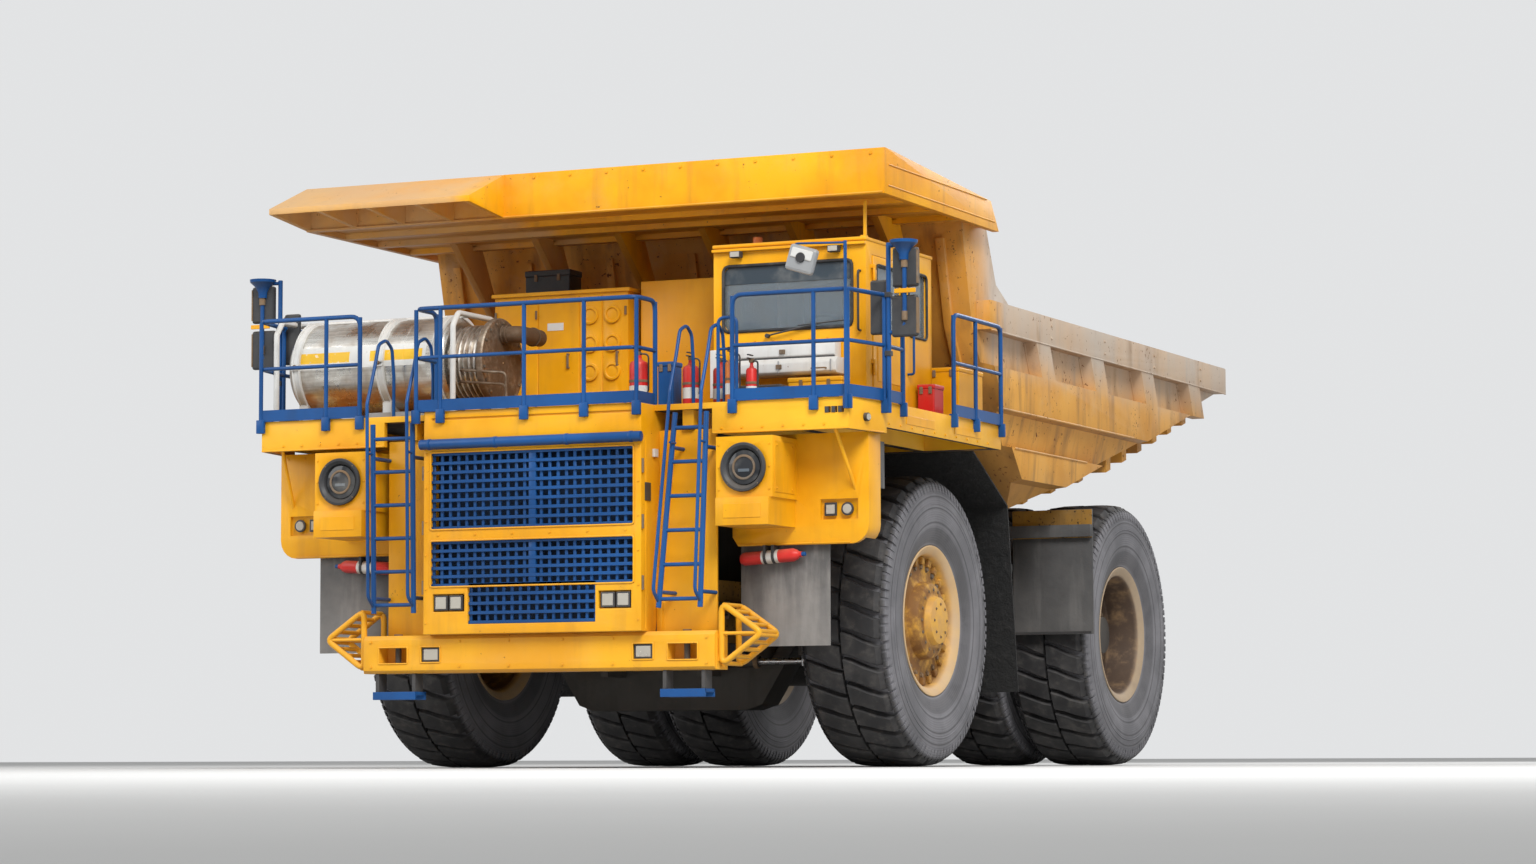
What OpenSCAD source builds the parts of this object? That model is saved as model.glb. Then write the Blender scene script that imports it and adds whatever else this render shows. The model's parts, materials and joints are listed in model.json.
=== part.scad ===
// Rigid mining dump truck. Front towards -Y, its own left side at +X, ground at z = 0.
// Places along the truck are given from the front axle, positive towards the tail.

/* [Layout] */
// Place of the front axle along the truck, from the truck's middle
front_axle_y = -2761; // [-2800:1:-2720]
// Distance from the front to the rear axle
wheelbase = 5300; // [5250:10:5450]
// Outer face of the front tyres from the centre plane
front_outer_x = 3000; // [2980:5:3060]
// Outer face of the rear tyres from the centre plane
rear_outer_x = 3240; // [3220:5:3300]

/* [Wheels] */
// Outer diameter of a tyre over its lugs
tyre_d = 3020; // [2960:10:3060]
// Section width of a tyre
tyre_w = 970; // [930:5:985]
// Lugs round one shoulder of a tyre
lug_count = 34; // [24:2:40]
// Depth of the lugs
lug_depth = 85; // [60:5:100]
// Width of a lug round the tyre
lug_w = 168; // [120:4:190]
// Slant of a lug across the tread
lug_slant = 17; // [0:1:22]
// Clearance from the rear tyres to the guards ahead of them
guard_clear = 125; // [100:5:160]
// Diameter of the rim flange that shows beside the tyre
flange_d = 1560; // [1500:10:1640]
// Gap between the two tyres of a twin pair
twin_gap = 120; // [90:5:140]
// Wall of the rim barrel
rim_wall = 45; // [35:1:60]
// Diameter of the wheel spindles
spindle_d = 420; // [380:10:460]
// Running clearance between a spindle and its hub
spindle_gap = 0.3; // [0.2:0.1:1]
// Radius of the circle of bolts on a front wheel's face
bolt_r = 565; // [540:5:580]
// Bolts on a front wheel's face
wheel_bolts = 22; // [12:1:24]

/* [Steering] */
// Kingpin axis from the centre plane
kingpin_x = 1750; // [1730:5:1760]
// Diameter of a kingpin
kingpin_d = 160; // [140:5:180]
// Length of the steering arms
arm_len = 600; // [560:10:640]
// Diameter of the tie rod
tie_rod_d = 90; // [70:5:110]
// Bore of a steering cylinder's barrel
steer_barrel_d = 130; // [110:5:150]
// Diameter of a steering cylinder's rod
steer_rod_d = 65; // [50:5:80]

/* [Frame] */
// Middle of a frame rail from the centre plane
rail_x = 695; // [680:5:705]
// Width of a frame rail
rail_w = 270; // [250:5:280]
// Underside of the rails over the front axle
rail_low_z = 1300; // [1290:5:1340]
// Height of the rails over the front axle
rail_h = 650; // [600:10:680]
// Top of the rails under the bed
rail_rear_z = 2700; // [2690:5:2710]
// Height of the rails over the rear axle
rail_rear_h = 620; // [560:10:640]
// Diameter of the frame's cross tubes
cross_d = 320; // [260:10:340]
// Diameter of the hole in the rear hitch plate
hitch_d = 66; // [50:1:90]
// Length of the power unit's block
engine_len = 2900; // [2600:50:3000]
// Width of the power unit's block
engine_w = 1080; // [1000:10:1100]
// Height of the power unit's block
engine_h = 1700; // [1500:50:1750]

/* [Axles] */
// Lowest point of the front axle beam
beam_low_z = 600; // [560:10:660]
// Height of the front axle beam at its middle
beam_h = 480; // [420:10:500]
// Depth of the front axle beam
beam_t = 420; // [380:10:460]
// Diameter of the rear axle housing
housing_d = 960; // [900:10:1000]
// Half length of the rear axle housing
housing_x = 1080; // [1050:5:1100]
// Diameter of the wheel motors inside the rear rims
motor_d = 1100; // [1000:10:1140]
// Outer diameter of a suspension strut
strut_d = 260; // [240:10:280]

/* [Bumper] */
// Front face of the bumper ahead of the front axle
bumper_y = 3280; // [3240:10:3320]
// Half width of the bumper
bumper_x = 1965; // [1900:5:2000]
// Underside of the bumper
bumper_low_z = 954; // [930:2:980]
// Height of the bumper
bumper_h = 381; // [360:1:390]
// Depth of the bumper
bumper_t = 280; // [240:10:320]
// Towing pins from the centre plane
tow_x = 1620; // [1600:5:1640]
// Diameter of a towing pin
tow_pin_d = 60; // [50:1:80]
// Reach of the tubular end guards past the bumper
guard_reach = 470; // [420:10:500]
// Diameter of the guard tubes
guard_d = 62; // [50:2:70]
// Top of the end guards
guard_top_z = 1600; // [1560:10:1640]
// Depth of the end guards between their two frames
guard_depth = 400; // [360:10:430]
// Top of the stirrup step's tread
stirrup_z = 770; // [740:5:800]

/* [Hood] */
// Front face of the hood ahead of the front axle
hood_y = 3380; // [3350:5:3400]
// Half width of the hood
hood_x = 1220; // [1200:5:1240]
// Top of the hood and of the deck
deck_z = 3580; // [3560:5:3600]
// Depth of the hood's side at the top
hood_top_t = 700; // [650:10:760]
// Depth of the hood's side at the bottom
hood_low_t = 330; // [300:10:380]
// Half width of the grilles
grille_x = 1140; // [1120:5:1150]
// Half width of the lower grille's tongue
tongue_x = 715; // [680:5:740]
// Thickness of the hood's face round the grilles
grille_recess = 90; // [80:5:110]
// Thickness of the radiator
radiator_t = 160; // [120:10:160]
// Spacing of the grille bars
grille_pitch = 95; // [80:5:120]
// Thickness of a grille bar
grille_bar = 34; // [24:2:40]
// Diameter of the rolled cover over the upper grille
cover_tube_d = 110; // [90:5:130]

/* [Deck] */
// Half width of the deck
deck_x = 3407; // [3390:1:3420]
// Front edge of the deck ahead of the front axle
deck_y = 3080; // [3060:5:3100]
// Rear edge of the deck behind the front axle
deck_rear_y = 780; // [740:10:800]
// Width across which the deck's front edge runs straight, from the centre plane
corner_x = 3310; // [3250:5:3330]
// Length of the deck's cut-back front corner
corner_len = 640; // [600:10:660]
// Depth of the deck's front fascia
fascia_h = 310; // [280:5:330]
// Depth of the deck's side face over the wheel
arch_h = 250; // [230:5:270]
// Height of the top rail over the deck
rail_top_h = 1070; // [1000:10:1100]
// Diameter of the handrail tubes
handrail_d = 48; // [38:2:60]
// Height of the toe boards
toe_h = 120; // [100:5:140]
// Thickness of the toe boards
toe_t = 12; // [8:1:20]

/* [Wings] */
// Outer edge of the front wings
wing_x = 3335; // [3300:5:3370]
// Front face of the wings ahead of the front axle
wing_y = 2650; // [2600:10:2700]
// Underside of the front wings
wing_low_z = 2180; // [2150:5:2220]
// Rear edge of a front wing ahead of the front axle
wing_rear_y = 2350; // [2330:5:2370]
// Face of the headlamp boxes ahead of the front axle
lamp_y = 3240; // [3220:5:3260]
// Headlamp axis from the centre plane
lamp_x = 2268; // [2250:2:2290]
// Headlamp axis over the ground
lamp_z = 2915; // [2900:5:2930]
// Diameter of a headlamp's bezel
lamp_d = 485; // [450:5:500]
// Width of a headlamp box
lamp_box_w = 605; // [590:5:640]

// Outer edge of the flaps ahead of the front wheels
flap_x = 2890; // [2800:10:2950]
// Lower edge of the flaps ahead of the front wheels
flap_low_z = 1190; // [1100:10:1300]

/* [Cab] */
// Inner side of the cab from the centre plane
cab_in_x = 1340; // [1320:5:1360]
// Outer side of the cab from the centre plane
cab_out_x = 3020; // [3000:5:3040]
// Front of the cab ahead of the front axle
cab_y = 1950; // [1930:5:1980]
// Length of the cab
cab_len = 1750; // [1700:10:1800]
// Roof of the cab over the ground
cab_top_z = 5290; // [5260:5:5320]
// Thickness of the cab's walls
cab_wall = 70; // [55:5:80]
// Sill of the cab's windows over the ground
sill_z = 4400; // [4370:5:4430]
// Head of the cab's windows over the ground
head_z = 5070; // [5040:5:5100]
// Width of the cab door
door_w = 860; // [820:10:880]
// Gap round the cab door
door_gap = 8; // [6:1:12]
// Thickness of the glass
glass_t = 12; // [8:1:16]

/* [Deck equipment] */
// Diameter of the braking resistor's drum
drum_d = 980; // [940:10:1000]
// Length of the braking resistor's drum
drum_len = 1960; // [1900:10:2050]
// Radius round the drum's end
drum_end = 160; // [120:10:200]
// Axis of the drum ahead of the front axle
drum_y = 2330; // [2300:10:2360]
// Width of the control cabinet
cabinet_w = 1580; // [1500:10:1600]
// Height of the control cabinet
cabinet_h = 1430; // [1400:10:1480]
// Depth of the control cabinet
cabinet_t = 1000; // [900:10:1050]

/* [Bed] */
// Outer half width of the bed over its rails
bed_x = 3300; // [3290:2:3330]
// Step from the rail's face in to the side panel
panel_step = 150; // [130:5:160]
// Thickness of the bed's side walls
bed_wall = 60; // [50:5:80]
// Thickness of the bed's floor with its lining
bed_floor = 130; // [110:5:150]
// Tail of the bed behind the front axle
tail_y = 8950; // [8900:10:9000]
// Top of the bed's side rails
bed_top_z = 4930; // [4910:5:4950]
// Height of the side rails
bed_rail_h = 310; // [290:5:330]
// Rise of the bed's floor over each metre towards the tail
floor_rise = 271.6; // [268:0.2:274]
// Underside of the bed's floor four metres behind the front axle
floor_mid_z = 3282; // [3270:2:3300]
// Spacing of the side posts
post_pitch = 1760; // [1740:5:1780]
// Width of a side post
post_w = 430; // [400:5:460]
// First side post behind the front axle
post_y = 2350; // [2330:5:2370]
// Lean of the side posts toward the front
post_lean = 180; // [160:5:200]
// Top of the side's outer band over the ground
band_z = 4240; // [4220:5:4260]
// Height of the side's outer band
band_h = 440; // [420:5:460]
// Top of the side's lower band over the ground
low_band_z = 3420; // [3400:5:3440]
// Height of the side's lower band
low_band_h = 320; // [300:5:340]
// Spacing of the cross ribs below the floor
rib_pitch = 560; // [540:5:580]
// Depth of the cross ribs
rib_h = 170; // [150:5:190]

/* [Canopy] */
// Front board of the canopy ahead of the front axle
canopy_y = 2190; // [2160:5:2220]
// Half width of the canopy
canopy_x = 3330; // [3310:5:3340]
// Clearance from the cab's roof to the underside of the canopy's front board
canopy_clear = 390; // [340:10:420]
// Height of the front board
canopy_h = 460; // [440:5:480]
// Reach of the forward deflector ahead of the board
wedge_reach = 750; // [700:10:780]

/* [Hoist] */
// Bed pivot behind the front axle
pivot_y = 6950; // [6930:5:6970]
// Bed pivot over the ground
pivot_z = 2480; // [2470:5:2490]
// Diameter of the bed's pivot pins
pivot_d = 180; // [160:5:200]
// Hoist cylinder axis from the centre plane
hoist_x = 1000; // [995:1:1005]
// Lower hoist pin behind the front axle
hoist_low_y = 4200; // [4180:5:4220]
// Lower hoist pin over the ground
hoist_low_z = 1250; // [1230:5:1270]
// Upper hoist pin behind the front axle
hoist_up_y = 4100; // [4090:5:4110]
// Upper hoist pin over the ground
hoist_up_z = 2950; // [2940:5:2960]
// Outer diameter of a hoist barrel
hoist_d = 260; // [240:5:264]
// Clearance of the hoist eye round its upper pin
eye_gap = 50; // [47:1:54]

/* [Hidden] */

ya = front_axle_y;
hub_z = tyre_d / 2;
canopy_top_z = cab_top_z + canopy_clear + canopy_h;
front_x = front_outer_x - tyre_w / 2;
rear_x = rear_outer_x - tyre_w / 2;
twin_step = tyre_w + twin_gap;
deck_low_z = deck_z - fascia_h;
deck_t = 60;
pad_t = 30;
// Back of the guards ahead of the rear tyres
guard_y = ya + wheelbase - tyre_d / 2 - guard_clear;
hitch_t = 80;
hitch_y = ya + pivot_y + 330;
stringer_d = 56;
// Handrails ahead of the ladders' stringers
loop_t = 38;
hoist_pin_d = 110;
rail_out_x = rail_x + rail_w / 2;
rail_in_x = rail_x - rail_w / 2;
seat_gap = 0.3;
eps = 1;

yellow = [0.96, 0.66, 0.04];
tan = [0.84, 0.66, 0.45];
blue = [0.05, 0.20, 0.52];
rubber = [0.13, 0.13, 0.14];
dark = [0.22, 0.22, 0.24];
grey = [0.45, 0.46, 0.48];
steel = [0.72, 0.72, 0.70];
red = [0.80, 0.08, 0.08];
white = [0.88, 0.89, 0.90];
glassy = [0.35, 0.42, 0.48, 0.5];

// Prism along X from x0 to x1 over an outline in (y, z)
module xprism(x0, x1, pts) {
    translate([x0, 0, 0]) rotate([90, 0, 90]) linear_extrude(height = x1 - x0) polygon(pts);
}

// Prism along Y from y0 to y1 over an outline in (x, z)
module yprism(y0, y1, pts) {
    translate([0, y1, 0]) rotate([90, 0, 0]) linear_extrude(height = y1 - y0) polygon(pts);
}

// Box given by its low and high corners
module box(lo, hi) {
    translate(lo) cube(hi - lo);
}

// Cylinder along X from x0 to x1 about the point (y, z)
module xcyl(x0, x1, y, z, d) {
    translate([x0, y, z]) rotate([0, 90, 0]) cylinder(h = x1 - x0, d = d, $fn = 48);
}

// Cylinder along Y from y0 to y1 about the point (x, z)
module ycyl(y0, y1, x, z, d) {
    translate([x, y1, z]) rotate([90, 0, 0]) cylinder(h = y1 - y0, d = d, $fn = 48);
}

// Round bar from point p to point q
module bar(p, q, d) {
    v = q - p;
    len = norm(v);
    translate(p) rotate([0, acos(v[2] / len), atan2(v[1], v[0])]) cylinder(h = len, d = d, $fn = 24);
}

function unit(v) = v / norm(v);

// Offset of a strip's edge at point k of a plane list, for a half width of one
function mitre(pts, k) = let (n = len(pts) - 1,
    a = unit(pts[max(k, 1)] - pts[max(k, 1) - 1]), b = unit(pts[min(k + 1, n)] - pts[min(k + 1, n) - 1]),
    m = [-a[1] - b[1], a[0] + b[0]]) 2 * m / (m * m);

// Outline of a strip of width w along plane points, its corners mitred
function strip(pts, w) = let (n = len(pts) - 1) concat(
    [for (k = [0 : n]) pts[k] + mitre(pts, k) * w / 2],
    [for (k = [n : -1 : 0]) pts[k] - mitre(pts, k) * w / 2]);

// Flat strip in plan along the (x, y) of a list of points, from z up by h
module plan_strip(pts, w, z, h) {
    translate([0, 0, z]) linear_extrude(height = h) polygon(strip([for (p = pts) [p[0], p[1]]], w));
}

// The children on the left, and mirrored on the right
module both() {
    children();
    mirror([1, 0, 0]) children();
}

// Turned solid about the X axis through (y, z), outline in (radius, x)
module turned(y, z, pts) {
    translate([0, y, z]) rotate([0, 90, 0]) rotate_extrude($fn = 96) polygon(pts);
}

module frame_rails() {
    nose_y = ya - bumper_y + bumper_t;
    low = rail_low_z;
    rear_low = rail_rear_z - rail_rear_h;
    tail = ya + pivot_y + 160;
    outline = [[nose_y, bumper_low_z + 40], [ya - 2500, low], [ya + 1300, low],
        [ya + 3000, rear_low], [ya + pivot_y - 450, rear_low], [tail, pivot_z - 160],
        [tail, rail_rear_z - 60], [tail - 100, rail_rear_z],
        [ya + 3000, rail_rear_z], [ya + 1300, low + rail_h], [ya - 2600, low + rail_h],
        [nose_y, bumper_low_z + bumper_h - 20]];
    color(yellow) {
        both() {
            xprism(rail_in_x, rail_out_x, outline);
            // Brackets for the front struts, the hoist's lower pins and the rear struts
            box([rail_out_x - eps, ya - 170, low + 430], [1190, ya + 170, low + rail_h]);
            hoist_bracket();
            box([rail_out_x - eps, ya + wheelbase + 330, rear_low + 60],
                [1090, ya + wheelbase + 570, rear_low + 300]);
            // Arch that carries the deck behind the front wheels
            box([rail_out_x - 200, ya + 560, low + rail_h - eps],
                [rail_out_x, ya + 760, deck_z - deck_t - seat_gap]);
        }
        // Cross tubes: place behind the front axle, height
        for (c = [[-2350, low + 330], [1750, low + 560], [2750, 1950], [4250, 2400], [pivot_y, pivot_z]])
            xcyl(-rail_in_x - eps, rail_in_x + eps, ya + c[0], c[1], cross_d);
    }
    // Hitch plate on the rear cross tube
    color(yellow) difference() {
        box([-200, ya + pivot_y + 100, pivot_z - hitch_t / 2], [200, hitch_y + 110, pivot_z + hitch_t / 2]);
        translate([0, hitch_y, pivot_z - hitch_t]) cylinder(h = 2 * hitch_t, d = hitch_d, $fn = 64);
    }
    // Bed pivot pins and rest pads
    color(dark) {
        xcyl(-rail_out_x - 170, rail_out_x + 170, ya + pivot_y, pivot_z, pivot_d);
        both() for (y = [3300, 4600, 5900])
            box([rail_in_x + 20, ya + y, rail_rear_z - eps],
                [rail_out_x - 20, ya + y + 500, rail_rear_z + pad_t]);
    }
}

// Plate under a rail with the pin that carries a hoist barrel
module hoist_bracket() {
    z = rail_rear_z - rail_rear_h;
    y = ya + hoist_low_y;
    xprism(rail_out_x - 60, rail_out_x + 30, [[y - 420, z + 60], [y - 120, hoist_low_z - 100],
        [y + 120, hoist_low_z - 100], [y + 300, z + 60]]);
    xcyl(rail_out_x + 29, hoist_x + 90, y, hoist_low_z, hoist_pin_d);
}

module power_unit() {
    y0 = ya - 2150;
    z0 = rail_low_z + 40;
    color(grey) {
        box([-engine_w / 2, y0, z0], [engine_w / 2, y0 + engine_len, z0 + engine_h]);
        // Feet on the frame rails
        both() for (y = [y0 + 300, y0 + engine_len - 500])
            box([engine_w / 2 - eps, y, z0 + 300], [rail_in_x - seat_gap, y + 200, z0 + 420]);
    }
}

module front_axle() {
    zb = beam_low_z;
    top = rail_low_z + 430;
    // Right half of the beam's outline, from the middle's underside up to its top
    half = [[900, zb], [1080, zb + 60], [kingpin_x - 260, hub_z - 190], [kingpin_x - 20, hub_z - 190],
        [kingpin_x - 20, hub_z + 190], [kingpin_x - 190, hub_z + 190], [1150, zb + beam_h]];
    color(dark) {
        yprism(ya - beam_t / 2, ya + beam_t / 2, concat(
            [for (p = half) p], [for (k = [len(half) - 1 : -1 : 0]) [-half[k][0], half[k][1]]]));
        both() translate([kingpin_x, ya, hub_z - 200]) cylinder(h = 400, d = 340, $fn = 64);
        both() translate([kingpin_x, ya, hub_z - 370]) cylinder(h = 740, d = kingpin_d, $fn = 64);
    }
    // Struts from the beam up to the frame
    color(grey) both() {
        translate([1040, ya, zb + beam_h - 60]) cylinder(h = top - seat_gap - zb - beam_h + 60, d = strut_d, $fn = 48);
        translate([1040, ya, rail_low_z + rail_h + seat_gap]) cylinder(h = 360, d = strut_d + 40, $fn = 48);
    }
    // Brackets and pins for the steering cylinders
    color(dark) both() {
        box([steer_pivot_x - 40, ya + steer_y - 100, link_z - 90], [steer_pivot_x + 40, ya - beam_t / 2 + eps, link_z + 5]);
        translate([steer_pivot_x, ya + steer_y, link_z]) cylinder(h = 120, d = 50, $fn = 48);
    }
}

module rear_axle() {
    y = ya + wheelbase;
    color(dark) {
        xcyl(-housing_x + 60, housing_x - 60, y, hub_z, housing_d);
        xcyl(-housing_x, housing_x, y, hub_z, housing_d - 160);
        // Spindles that carry the twin wheels
        xcyl(-rear_x - 180, rear_x + 180, y, hub_z, spindle_d);
        // Wheel motors inside the rims
        xcyl(-rear_x + 615, rear_x - 615, y, hub_z, motor_d);
        // Drag frame forward to the main cross tube
        translate([0, 0, hub_z - 330]) linear_extrude(height = 300)
            polygon([[-620, y - 350], [620, y - 350], [200, ya + 2900], [-200, ya + 2900]]);
    }
    color(grey) both() translate([970, y + 450, 0]) {
        translate([0, 0, hub_z]) cylinder(h = rail_rear_z - rail_rear_h + 60 - seat_gap - hub_z, d = strut_d - 40, $fn = 48);
        translate([0, -200, hub_z + 60]) cube([120, 200, 160], center = true);
    }
}

module bumper() {
    y0 = ya - bumper_y;
    z1 = bumper_low_z + bumper_h;
    color(yellow) difference() {
        xprism(-bumper_x, bumper_x, [[y0 + 30, bumper_low_z], [y0 + bumper_t, bumper_low_z], [y0 + bumper_t, z1],
            [y0 + 40, z1], [y0, z1 - 40], [y0, bumper_low_z + 30]]);
        // Towing pockets and fog lamp pockets
        for (s = [-1, 1]) {
            translate([s * tow_x, y0, bumper_low_z + 180]) cube([330, 360, 165], center = true);
            translate([s * 1190, y0, bumper_low_z + 185]) cube([225, 240, 160], center = true);
        }
    }
    // Towing pins across the pockets
    color(dark) both() translate([tow_x, y0 + 110, bumper_low_z + 90]) cylinder(h = 180, d = tow_pin_d, $fn = 48);
}

// Guard of tubes on a plate at one end of the bumper, left side
module end_guard() {
    x0 = bumper_x + seat_gap;
    x = x0 + guard_d / 2 + 8;
    y0 = ya - bumper_y + 80;
    low = bumper_low_z + 40;
    tip_x = bumper_x + guard_reach;
    tip_z = bumper_low_z + 350;
    box([x0, y0 - 50, bumper_low_z], [x0 + 12, ya - bumper_y + bumper_t, bumper_low_z + bumper_h]);
    for (y = [y0, y0 + guard_depth])
        yprism(y - guard_d / 2, y + guard_d / 2, strip([[x, guard_top_z], [tip_x, tip_z], [x, low]], guard_d));
    // Cross bars: place across, height
    for (c = [[x, guard_top_z - 40], [(x + tip_x) / 2, (guard_top_z + tip_z) / 2], [tip_x, tip_z],
        [(x + tip_x) / 2, (low + tip_z) / 2], [x, low + 40]])
        ycyl(y0, y0 + guard_depth, c[0], c[1], guard_d - 10);
    // Posts that join the frames to the plate
    for (y = [y0, y0 + 160]) bar([x, y, low + 40], [x, y, guard_top_z - 40], guard_d - 6);
    for (z = [low + 40, low + 260]) box([x0 + 11, y0 - 20, z], [x, y0 + 20, z + 60]);
}

module bumper_guards() {
    color(yellow) both() end_guard();
}

module hood() {
    y0 = ya - hood_y;
    z0 = bumper_low_z + bumper_h;
    color(yellow) difference() {
        xprism(-hood_x, hood_x, [[y0, z0 + seat_gap], [y0 + hood_low_t, z0 + seat_gap], [y0 + hood_top_t, deck_low_z],
            [y0 + hood_top_t, deck_z], [y0, deck_z]]);
        // Space behind the face, which holds the radiator
        box([-hood_x + hood_wall, y0 + grille_recess, z0 + hood_wall], [hood_x - hood_wall, y0 + hood_top_t + eps, deck_low_z - hood_wall]);
        // Openings for the grilles
        for (g = grille_parts) box([-g[0], y0 - eps, g[1]], [g[0], y0 + grille_recess + eps, g[2]]);
        // Groove for the rolled cover
        xcyl(-hood_x - eps, hood_x + eps, y0 - cover_off, cover_z, cover_tube_d + 2 * seat_gap);
        // Seam under the top edge
        box([-hood_x + 90, y0 - eps, deck_z - 90], [hood_x - 90, y0 + 20, deck_z - 70]);
        // Lamp pockets
        for (s = [-1, 1]) translate([s * 930, y0, 1650]) cube([360, 120, 175], center = true);
    }
}

hood_wall = 60;
cover_z = 3245;
// Axis of the rolled cover ahead of the hood's face
cover_off = cover_tube_d / 2 - 20;

// Openings of the grille: half width, low edge, high edge
grille_parts = [[grille_x, 2385, 3165], [grille_x, 1810, 2275], [tongue_x, 1435, 1810 + eps]];

module radiator() {
    x = hood_x - hood_wall - seat_gap;
    y1 = ya - hood_y + hood_low_t + 40;
    color(dark) box([-x, y1 - radiator_t, bumper_low_z + bumper_h + hood_wall + seat_gap], [x, y1, deck_low_z - hood_wall - 10]);
}

// Frame with bars across and upright bars behind them, from z0 to z1 within half a width
module bar_grid(half_w, z0, z1) {
    y = ya - hood_y + 20;
    t = 20;
    x = half_w - seat_gap;
    columns = round(2 * x / grille_pitch);
    rows = round((z1 - z0) / grille_pitch);
    for (k = [0 : columns]) {
        across = -x + grille_bar / 2 + k * (2 * x - grille_bar) / columns;
        box([across - grille_bar / 2, y + t, z0], [across + grille_bar / 2, y + 2 * t, z1]);
    }
    for (k = [0 : rows]) {
        up = z0 + grille_bar / 2 + k * (z1 - z0 - grille_bar) / rows;
        box([-x, y, up - grille_bar / 2], [x, y + t, up + grille_bar / 2]);
    }
}

module grille() {
    y0 = ya - hood_y;
    color(blue) {
        for (g = grille_parts) bar_grid(g[0], g[1] + seat_gap, g[2] - seat_gap + (g[0] == tongue_x ? grille_bar : 0));
        // Post in the middle of each part
        for (g = [0, 1]) box([-40, y0 + 25, grille_parts[g][1] + seat_gap], [40, y0 + 75, grille_parts[g][2] - seat_gap]);
        // Rolled cover over the upper part
        xcyl(-hood_x - 20, hood_x + 20, y0 - cover_off, cover_z, cover_tube_d);
    }
}

// Ladder between its low and high ends, each a left and a right point, with its handrails
module ladder(low, high, rungs) {
    plate_y = ya - 2980 - seat_gap;
    for (i = [0, 1]) {
        x = high[i][0];
        y = high[i][1];
        z = high[i][2];
        bar(low[i], high[i], stringer_d);
        // Handrail loop over the deck's edge
        xprism(x - loop_t / 2, x + loop_t / 2, strip([[y, z - 30], [y + 20, z + 500], [y + 110, z + 800], [y + 260, z + 860],
            [y + 380, z + 780], [y + 420, z + 500], [y + 420, deck_z + seat_gap]], loop_t));
        // Stand-offs to the plate behind
        for (t = [0.08, 0.82]) {
            p = low[i] + t * (high[i] - low[i]);
            ycyl(p[1], plate_y, p[0], p[2], 40);
        }
    }
    for (k = [0 : rungs - 1]) {
        t = (k + 0.25) / (rungs - 0.3);
        bar(low[0] + t * (high[0] - low[0]), low[1] + t * (high[1] - low[1]), 40);
    }
}

module ladders() {
    y = ya - 3290;
    z0 = 1560;
    z1 = 3480;
    color(blue) {
        ladder([[-1840, y, z0], [-1380, y, z0]], [[-1840, y - 40, z1], [-1380, y - 40, z1]], 6);
        ladder([[1390, y - 50, z0], [1840, y - 50, z0]], [[1510, y + 80, z1], [1850, y + 80, z1]], 6);
        // Stirrup steps hung under the bumper
        y0 = ya - bumper_y;
        both() {
            box([1370, y0 + 10, stirrup_z - 80], [1860, y0 + 240, stirrup_z]);
            for (x = [1385, 1805]) box([x, y0 + 40, stirrup_z - eps], [x + 40, y0 + 200, bumper_low_z - seat_gap]);
        }
    }
}

module deck() {
    y0 = ya - deck_y;
    y1 = ya + deck_rear_y;
    under = deck_z - deck_t;
    color(yellow) difference() {
        both() {
            // Floor plate beside the hood, its front corner cut back
            translate([0, 0, under]) linear_extrude(height = deck_t)
                polygon([[hood_x + seat_gap, y0], [corner_x, y0], [deck_x, y0 + corner_len], [deck_x, y1], [hood_x + seat_gap, y1]]);
            // Front fascia, cut-back corner and side face over the wheel
            box([1850, y0, deck_low_z], [corner_x, y0 + 60, under + eps]);
            translate([0, 0, deck_low_z]) linear_extrude(height = under + eps - deck_low_z)
                polygon([[corner_x, y0], [deck_x, y0 + corner_len], [deck_x, y0 + corner_len + 80],
                    [deck_x - 60, y0 + corner_len + 80], [corner_x - 60, y0 + 60], [corner_x - 60, y0]]);
            box([deck_x - 60, y0 + corner_len, deck_z - arch_h], [deck_x, y1, under + eps]);
            // Bearers along the truck
            for (x = [1500, 2500]) box([x, y0 + 60 - eps, deck_low_z + 60], [x + 120, y1, under + eps]);
            // Rear cross bearer
            box([rail_out_x, ya + 560, deck_low_z + 60], [deck_x - 60, ya + 760, under + eps]);
        }
        // Slots near the fascia's left end
        for (k = [0 : 2]) box([3080 + 70 * k, y0 - eps, deck_z - 150], [3120 + 70 * k, y0 + 61, deck_z - 90]);
    }
    color(yellow) box([-hood_x - 1, ya - hood_y + hood_top_t + seat_gap, under], [hood_x + 1, y1, deck_z]);
}

// Front wing with its headlamp box, left side
module wing() {
    y0 = ya - wing_y;
    y1 = ya - wing_rear_y;
    difference() {
        union() {
            yprism(y0, y1, concat([[1870, deck_low_z], [1870, wing_low_z + 90], [1930, wing_low_z]],
                [for (a = [-90 : 18 : 0]) [wing_x - 190 + 190 * cos(a), wing_low_z + 190 + 190 * sin(a)]], [[wing_x, deck_low_z]]));
            // Headlamp box with its lower ledge
            box([lamp_x - lamp_box_w / 2, ya - lamp_y, 2620], [lamp_x + lamp_box_w / 2, y0 + eps, 3220]);
            box([lamp_x - lamp_box_w / 2 + 20, ya - lamp_y - 60, 2350], [lamp_x + lamp_box_w / 2 - 20, y0 + eps, 2621]);
            // Brace up to the deck's fascia
            bar([3190, y0 + 20, 2700], [3120, ya - deck_y + 90, deck_low_z + 40], 36);
        }
        // Underside is open sheet metal
        box([1930, y0 + 60, wing_low_z - eps], [wing_x - 60, y1 + eps, deck_low_z - 60]);
        // Seat of the headlamp and of the marker lamps
        ycyl(ya - lamp_y - eps, ya - lamp_y + 60, lamp_x, lamp_z, lamp_d - 60);
        box([marker_x, y0 - eps, marker_z], [marker_x + 400, y0 + 40, marker_z + 200]);
    }
}

// Inner low corner of the marker lamps' pocket
marker_x = 2820;
marker_z = 2420;

module wings() {
    color(yellow) both() wing();
}

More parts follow.
